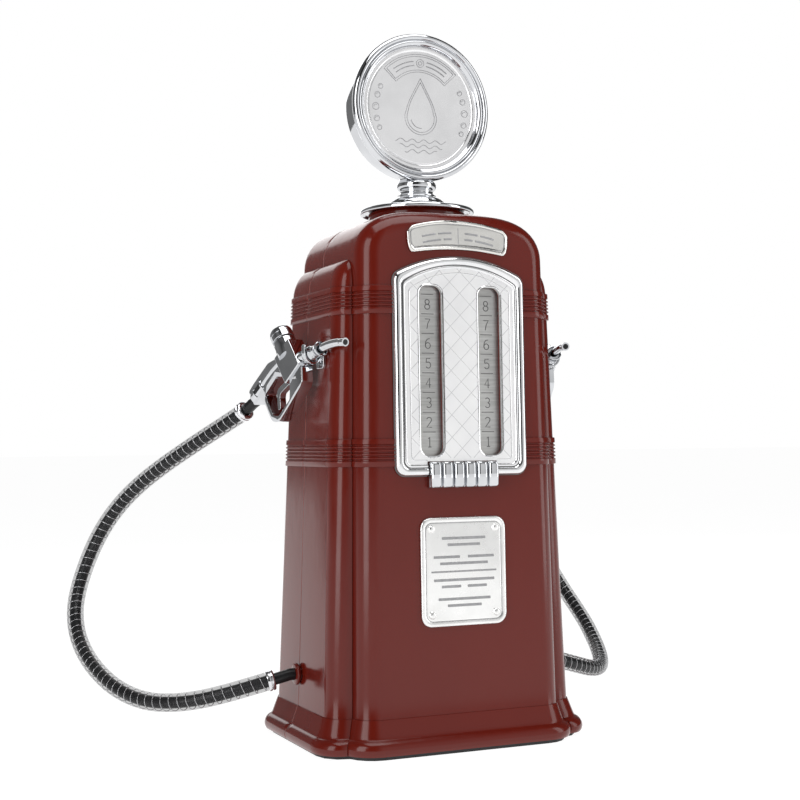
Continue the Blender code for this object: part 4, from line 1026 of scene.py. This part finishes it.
    trigger = prism(rounded(TRIGGER, 1.0, 3, True), -2.4, 2.4)
    pivot = Matrix.Translation(PIVOT)
    piece("trigger_lever", trigger, "chrome", "trigger", pivot, ride=f"trigger_{side}", bevel=0.5)
    plunger = [(0.01, -5.4), (2.8, -5.4), (2.8, -8.6), (1.2, -8.6), (1.2, -20.4), (0.01, -20.4)]
    plunger = turned(rounded(plunger, 0.4, 3), 32)
    piece("plunger_turned", plunger, "steel", "plunger", barrel_frame(), ride=f"valve_{side}", slot="steel")
    head = [(0, 4.8), (1.0, 4.75), (1.6, 4.5), (1.6, 4.35), (1.2, 4.35)]
    pin = head + [(radius, -z) for radius, z in reversed(head)]
    piece("trigger_pin_turned", turned(pin, 28), "steel", "trigger_pin", pivot, slot="steel")


def make_hook(side, sign):
    centre = Matrix.Translation((11.0, -2.5, 0))
    turn = Matrix(((0, 0, 1, 0), (0, 1, 0, 0), (-1, 0, 0, 0), (0, 0, 0, 1)))
    cradle = [(-7.0, 5.5)] + arc((0, 0), 7.0, 180, 360, 28) + [(7.0, 5.5)]
    cradle += [(5.6, 5.5)] + arc((0, 0), 5.6, 360, 180, 28) + [(-5.6, 5.5)]
    at = nozzle_axes(sign) @ centre @ turn
    node = f"nozzle_hook_{side}"
    cradle = prism(cradle, -1.6, 1.6)
    finish_mesh(f"{node}_cradle", cradle, "chrome", "pump", "chrome", (node,), at, bevel=0.45)
    wall = taper(WING_HALF, 255) + 0.15
    slope = math.atan((WING_HALF[0] - WING_HALF[1]) / (UPPER_BAND[1] - Z_PLINTH))
    stand = Matrix(((0, 0, sign, 0), (1, 0, 0, 0), (0, 1, 0, 0), (0, 0, 0, 1)))
    put = Matrix.Translation((sign * wall, -22.9, 255.5)) @ Matrix.Rotation(-sign * slope, 4, "Y") @ stand
    plate = prism(rounded_box(6.4, -8.5, 8.5, 2.2), 0, 2.2)
    finish_mesh(f"{node}_wall_plate", plate, "chrome", "pump", "chrome", matrix=put, bevel=0.5)


# ---- glands and hoses ----
def smooth_curve(points, per_span=12):
    """A Catmull-Rom curve through the points."""
    ends = [points[0] * 2 - points[1]] + points + [points[-1] * 2 - points[-2]]
    dense = []
    for a, b, c, d in zip(ends, ends[1:], ends[2:], ends[3:]):
        for i in range(per_span):
            t = i / per_span
            bow = (2 * a - 5 * b + 4 * c - d) * t**2
            dense.append(0.5 * (2 * b + (c - a) * t + bow + (3 * b - a - 3 * c + d) * t**3))
    return dense + [points[-1]]


def line_length(points):
    return sum((b - a).length for a, b in zip(points, points[1:]))


def spaced(points, spans):
    lengths = [0.0]
    for a, b in zip(points, points[1:]):
        lengths.append(lengths[-1] + (b - a).length)
    out = []
    index = 0
    for i in range(spans + 1):
        target = lengths[-1] * i / spans
        while index < len(points) - 2 and lengths[index + 1] < target:
            index += 1
        part = (target - lengths[index]) / (lengths[index + 1] - lengths[index])
        out.append(points[index].lerp(points[index + 1], part))
    return out


def curve_piece(name, points, radius, mat, resolution=4, replaces=(), body="pump"):
    """A round tube or wire along a line of points in millimetres."""
    data = bpy.data.curves.new(name, "CURVE")
    data.dimensions = "3D"
    data.bevel_depth = radius * MM
    data.bevel_resolution = resolution
    data.use_fill_caps = True
    spline = data.splines.new("POLY")
    spline.points.add(len(points) - 1)
    for point, spot in zip(spline.points, points):
        point.co = (*(spot * MM), 1)
    data.materials.append(MATS[mat])
    obj = bpy.data.objects.new(name, data)
    bpy.context.scene.collection.objects.link(obj)
    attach(obj, body)
    if replaces:
        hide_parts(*replaces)
    return obj


def frames_along(points):
    """Directions along a line, with side and up vectors that turn as little as they can."""
    side = None
    out = []
    for i in range(len(points)):
        along = (points[min(i + 1, len(points) - 1)] - points[max(i - 1, 0)]).normalized()
        side = along.cross(Vector((0, 0, 1))) if side is None else side - along * side.dot(along)
        side.normalize()
        out.append((along, side.copy(), along.cross(side)))
    return out


def make_hose(side, sign):
    dense = smooth_curve([Vector((-sign * x, y, z)) for x, y, z in HOSE_ROUTE])
    coarse = spaced(dense, 30)
    points = spaced(dense, 90)
    axis = nozzle_axes(sign).to_3x3() @ Vector((0.8, -0.6, 0))
    first, last = points[0], points[-1]
    points = [first, first + Vector((sign, 0, 0)) * 3] + points[1:-1] + [last + axis * 3, last]
    hose = curve_piece(f"hose_{side}_tube", points, 4.0, "hose", replaces=(f"hose_{side}",))

    inner = spaced(dense, 900)
    total = line_length(dense)
    start, stop = 18.6 / total, 1 - 18.6 / total
    run = [p for i, p in enumerate(inner) if start <= i / 900 <= stop]
    frames = frames_along(run)
    rings = []
    for i in range(0, len(run), 6):
        along, across, up = frames[i]
        angles = [math.tau * k / 24 for k in range(24)]
        rings.append([run[i] + (across * math.cos(a) + up * math.sin(a)) * 6.2 for a in angles])
    skin = loft(rings, cap=False)
    nodes = (f"hose_{side}_sleeve",)
    sleeve = finish_mesh(f"hose_{side}_clear_sleeve", skin, "sleeve", "pump", "sleeve", nodes, sharp=80)

    length = line_length(run)
    turns = length / 6.3
    count = int(turns * 20)
    helix = []
    for i in range(count + 1):
        t = i / count * (len(run) - 1)
        low = min(int(t), len(run) - 2)
        spot = run[low].lerp(run[low + 1], t - low)
        along, across, up = frames[low]
        a = math.tau * turns * i / count
        helix.append(spot + (across * math.cos(a) + up * math.sin(a)) * 5.5)
    wire = curve_piece(f"hose_{side}_wire_coil", helix, 0.3, "wire", 2)

    for end, index, ahead, behind in (("lower", 1, 2, 0), ("upper", -2, -3, -1)):
        along = (coarse[ahead] - coarse[index]).normalized() - (coarse[behind] - coarse[index]).normalized()
        ring = [(4.4, -2.5), (5.6, -2.6), (6.6, -2.2), (6.9, -1.4), (6.9, -0.5), (6.5, -0.2), (6.5, 0.2)]
        ring = turned(ring + [(6.9, 0.5), (6.9, 1.5), (6.7, 2.3), (5.4, 2.5), (4.4, 2.4)], 40, loop=True)
        node = f"hose_{side}_{end}_ferrule"
        place = aim(coarse[index], along)
        finish_mesh(f"{node}_ring", ring, "wire", "pump", "steel", (node,), place, sharp=50)
    gland = [(2.4, 90.7), (6.2, 90.7), (6.9, 90.4), (7.2, 89.8), (7.2, 88.9), (6.8, 88.3), (5.9, 88.0)]
    gland = turned(gland + [(5.1, 87.6), (5.1, 84.5), (2.4, 84.5)], 48, loop=True)
    node = f"hose_gland_{side}"
    place = aim((0, SEAM_Y, 45.0), (sign, 0, 0))
    finish_mesh(f"{node}_flange", gland, "body", "pump", "body", (node,), place, sharp=50)


# ---- floor and light ----
def area_light(name, size, energy, position, target):
    data = bpy.data.lights.new(name, "AREA")
    data.shape = "RECTANGLE"
    data.size, data.size_y = size
    data.energy = energy
    light = bpy.data.objects.new(name, data)
    bpy.context.scene.collection.objects.link(light)
    turn = (Vector(target) - Vector(position)).to_track_quat("-Z", "Y").to_matrix().to_4x4()
    light.matrix_world = Matrix.Translation(position) @ turn


def make_stage():
    mesh = bpy.data.meshes.new("floor")
    size = 30.0
    corners = [(-size, -size, 0), (size, -size, 0), (size, size, 0), (-size, size, 0)]
    mesh.from_pydata(corners, [], [(0, 1, 2, 3)])
    mesh.materials.append(pale_floor("pale_floor"))
    floor = bpy.data.objects.new("floor", mesh)
    bpy.context.scene.collection.objects.link(floor)
    make_world()
    area_light("left_softbox", (0.75, 1.7), 14, (-1.35, -0.75, 0.6), (0, 0, 0.24))
    area_light("right_softbox", (0.6, 1.6), 7, (1.3, -0.75, 0.6), (0, 0, 0.24))
    area_light("top_softbox", (1.1, 0.9), 9, (0.0, -0.3, 1.5), (0, 0, 0.2))
    area_light("back_softbox", (1.2, 1.2), 6, (0.3, 1.5, 0.9), (0, 0, 0.2))


def make_world():
    """White surroundings with a few soft dark bands, as the dark parts of a studio leave in chrome."""
    world = bpy.data.worlds.new("studio")
    bpy.context.scene.world = world
    world.use_nodes = True
    tree = world.node_tree
    nodes, links = tree.nodes, tree.links
    split = nodes.new("ShaderNodeSeparateXYZ")
    links.new(nodes.new("ShaderNodeTexCoord").outputs["Generated"], split.inputs[0])

    def step(operation, a, b):
        made = nodes.new("ShaderNodeMath")
        made.operation = operation
        for slot, value in enumerate((a, b)):
            if isinstance(value, bpy.types.NodeSocket):
                links.new(value, made.inputs[slot])
            else:
                made.inputs[slot].default_value = value
        return made.outputs[0]

    def ramp(value, stops):
        made = nodes.new("ShaderNodeValToRGB")
        links.new(value, made.inputs[0])
        elements = made.color_ramp.elements
        while len(elements) < len(stops):
            elements.new(0.5)
        for element, (at, tone) in zip(elements, stops):
            element.position = at
            element.color = (tone, tone, tone, 1)
        return made.outputs[0]

    turn = step("ARCTAN2", split.outputs["X"], split.outputs["Y"])
    around = step("FRACT", step("DIVIDE", turn, math.tau), 0.0)
    rows = [(0.0, 0.3), (0.08, 0.5), (0.13, 0.1), (0.24, 0.06), (0.34, 0.2), (0.4, 0.72), (0.47, 0.8)]
    rows += [(0.51, 0.3), (0.54, 0.05), (0.66, 0.04), (0.72, 0.3), (0.79, 0.08), (0.84, 0.16)]
    rows += [(0.9, 0.24), (0.96, 0.2)]
    sides = ramp(around, rows)
    height = ramp(split.outputs["Z"], [(0.0, 0.9), (0.35, 1.0), (0.75, 0.45)])
    mixed = nodes.new("ShaderNodeMix")
    mixed.data_type = "RGBA"
    mixed.blend_type = "MULTIPLY"
    mixed.inputs["Factor"].default_value = 1.0
    links.new(sides, mixed.inputs["A"])
    links.new(height, mixed.inputs["B"])
    white = nodes.new("ShaderNodeMix")
    white.data_type = "RGBA"
    links.new(nodes.new("ShaderNodeLightPath").outputs["Is Camera Ray"], white.inputs["Factor"])
    links.new(mixed.outputs["Result"], white.inputs["A"])
    white.inputs["B"].default_value = (1, 1, 1, 1)
    links.new(white.outputs["Result"], nodes["Background"].inputs["Color"])


def dress_kept_nodes():
    """Gives every CAD node that stays in view its finished material."""
    slots = {row["node"]: row["material_slot"] for row in frame["record"]["subparts"]}
    for name, obj in NODES.items():
        if obj.hide_render:
            continue
        obj.data.materials.clear()
        obj.data.materials.append(MATS[slots[name]])


bpy.context.scene.view_settings.view_transform = "Standard"
make_camera()
for hose_side, hose_sign in SIDES.items():
    make_hose(hose_side, hose_sign)
make_shells()
make_bezel()
make_gauges()
make_grille()
make_plaque()
make_plate()
make_lid()
make_globe()
for nozzle_side, nozzle_sign in SIDES.items():
    make_nozzle(nozzle_side, nozzle_sign)
    make_hook(nozzle_side, nozzle_sign)
make_stage()
dress_kept_nodes()
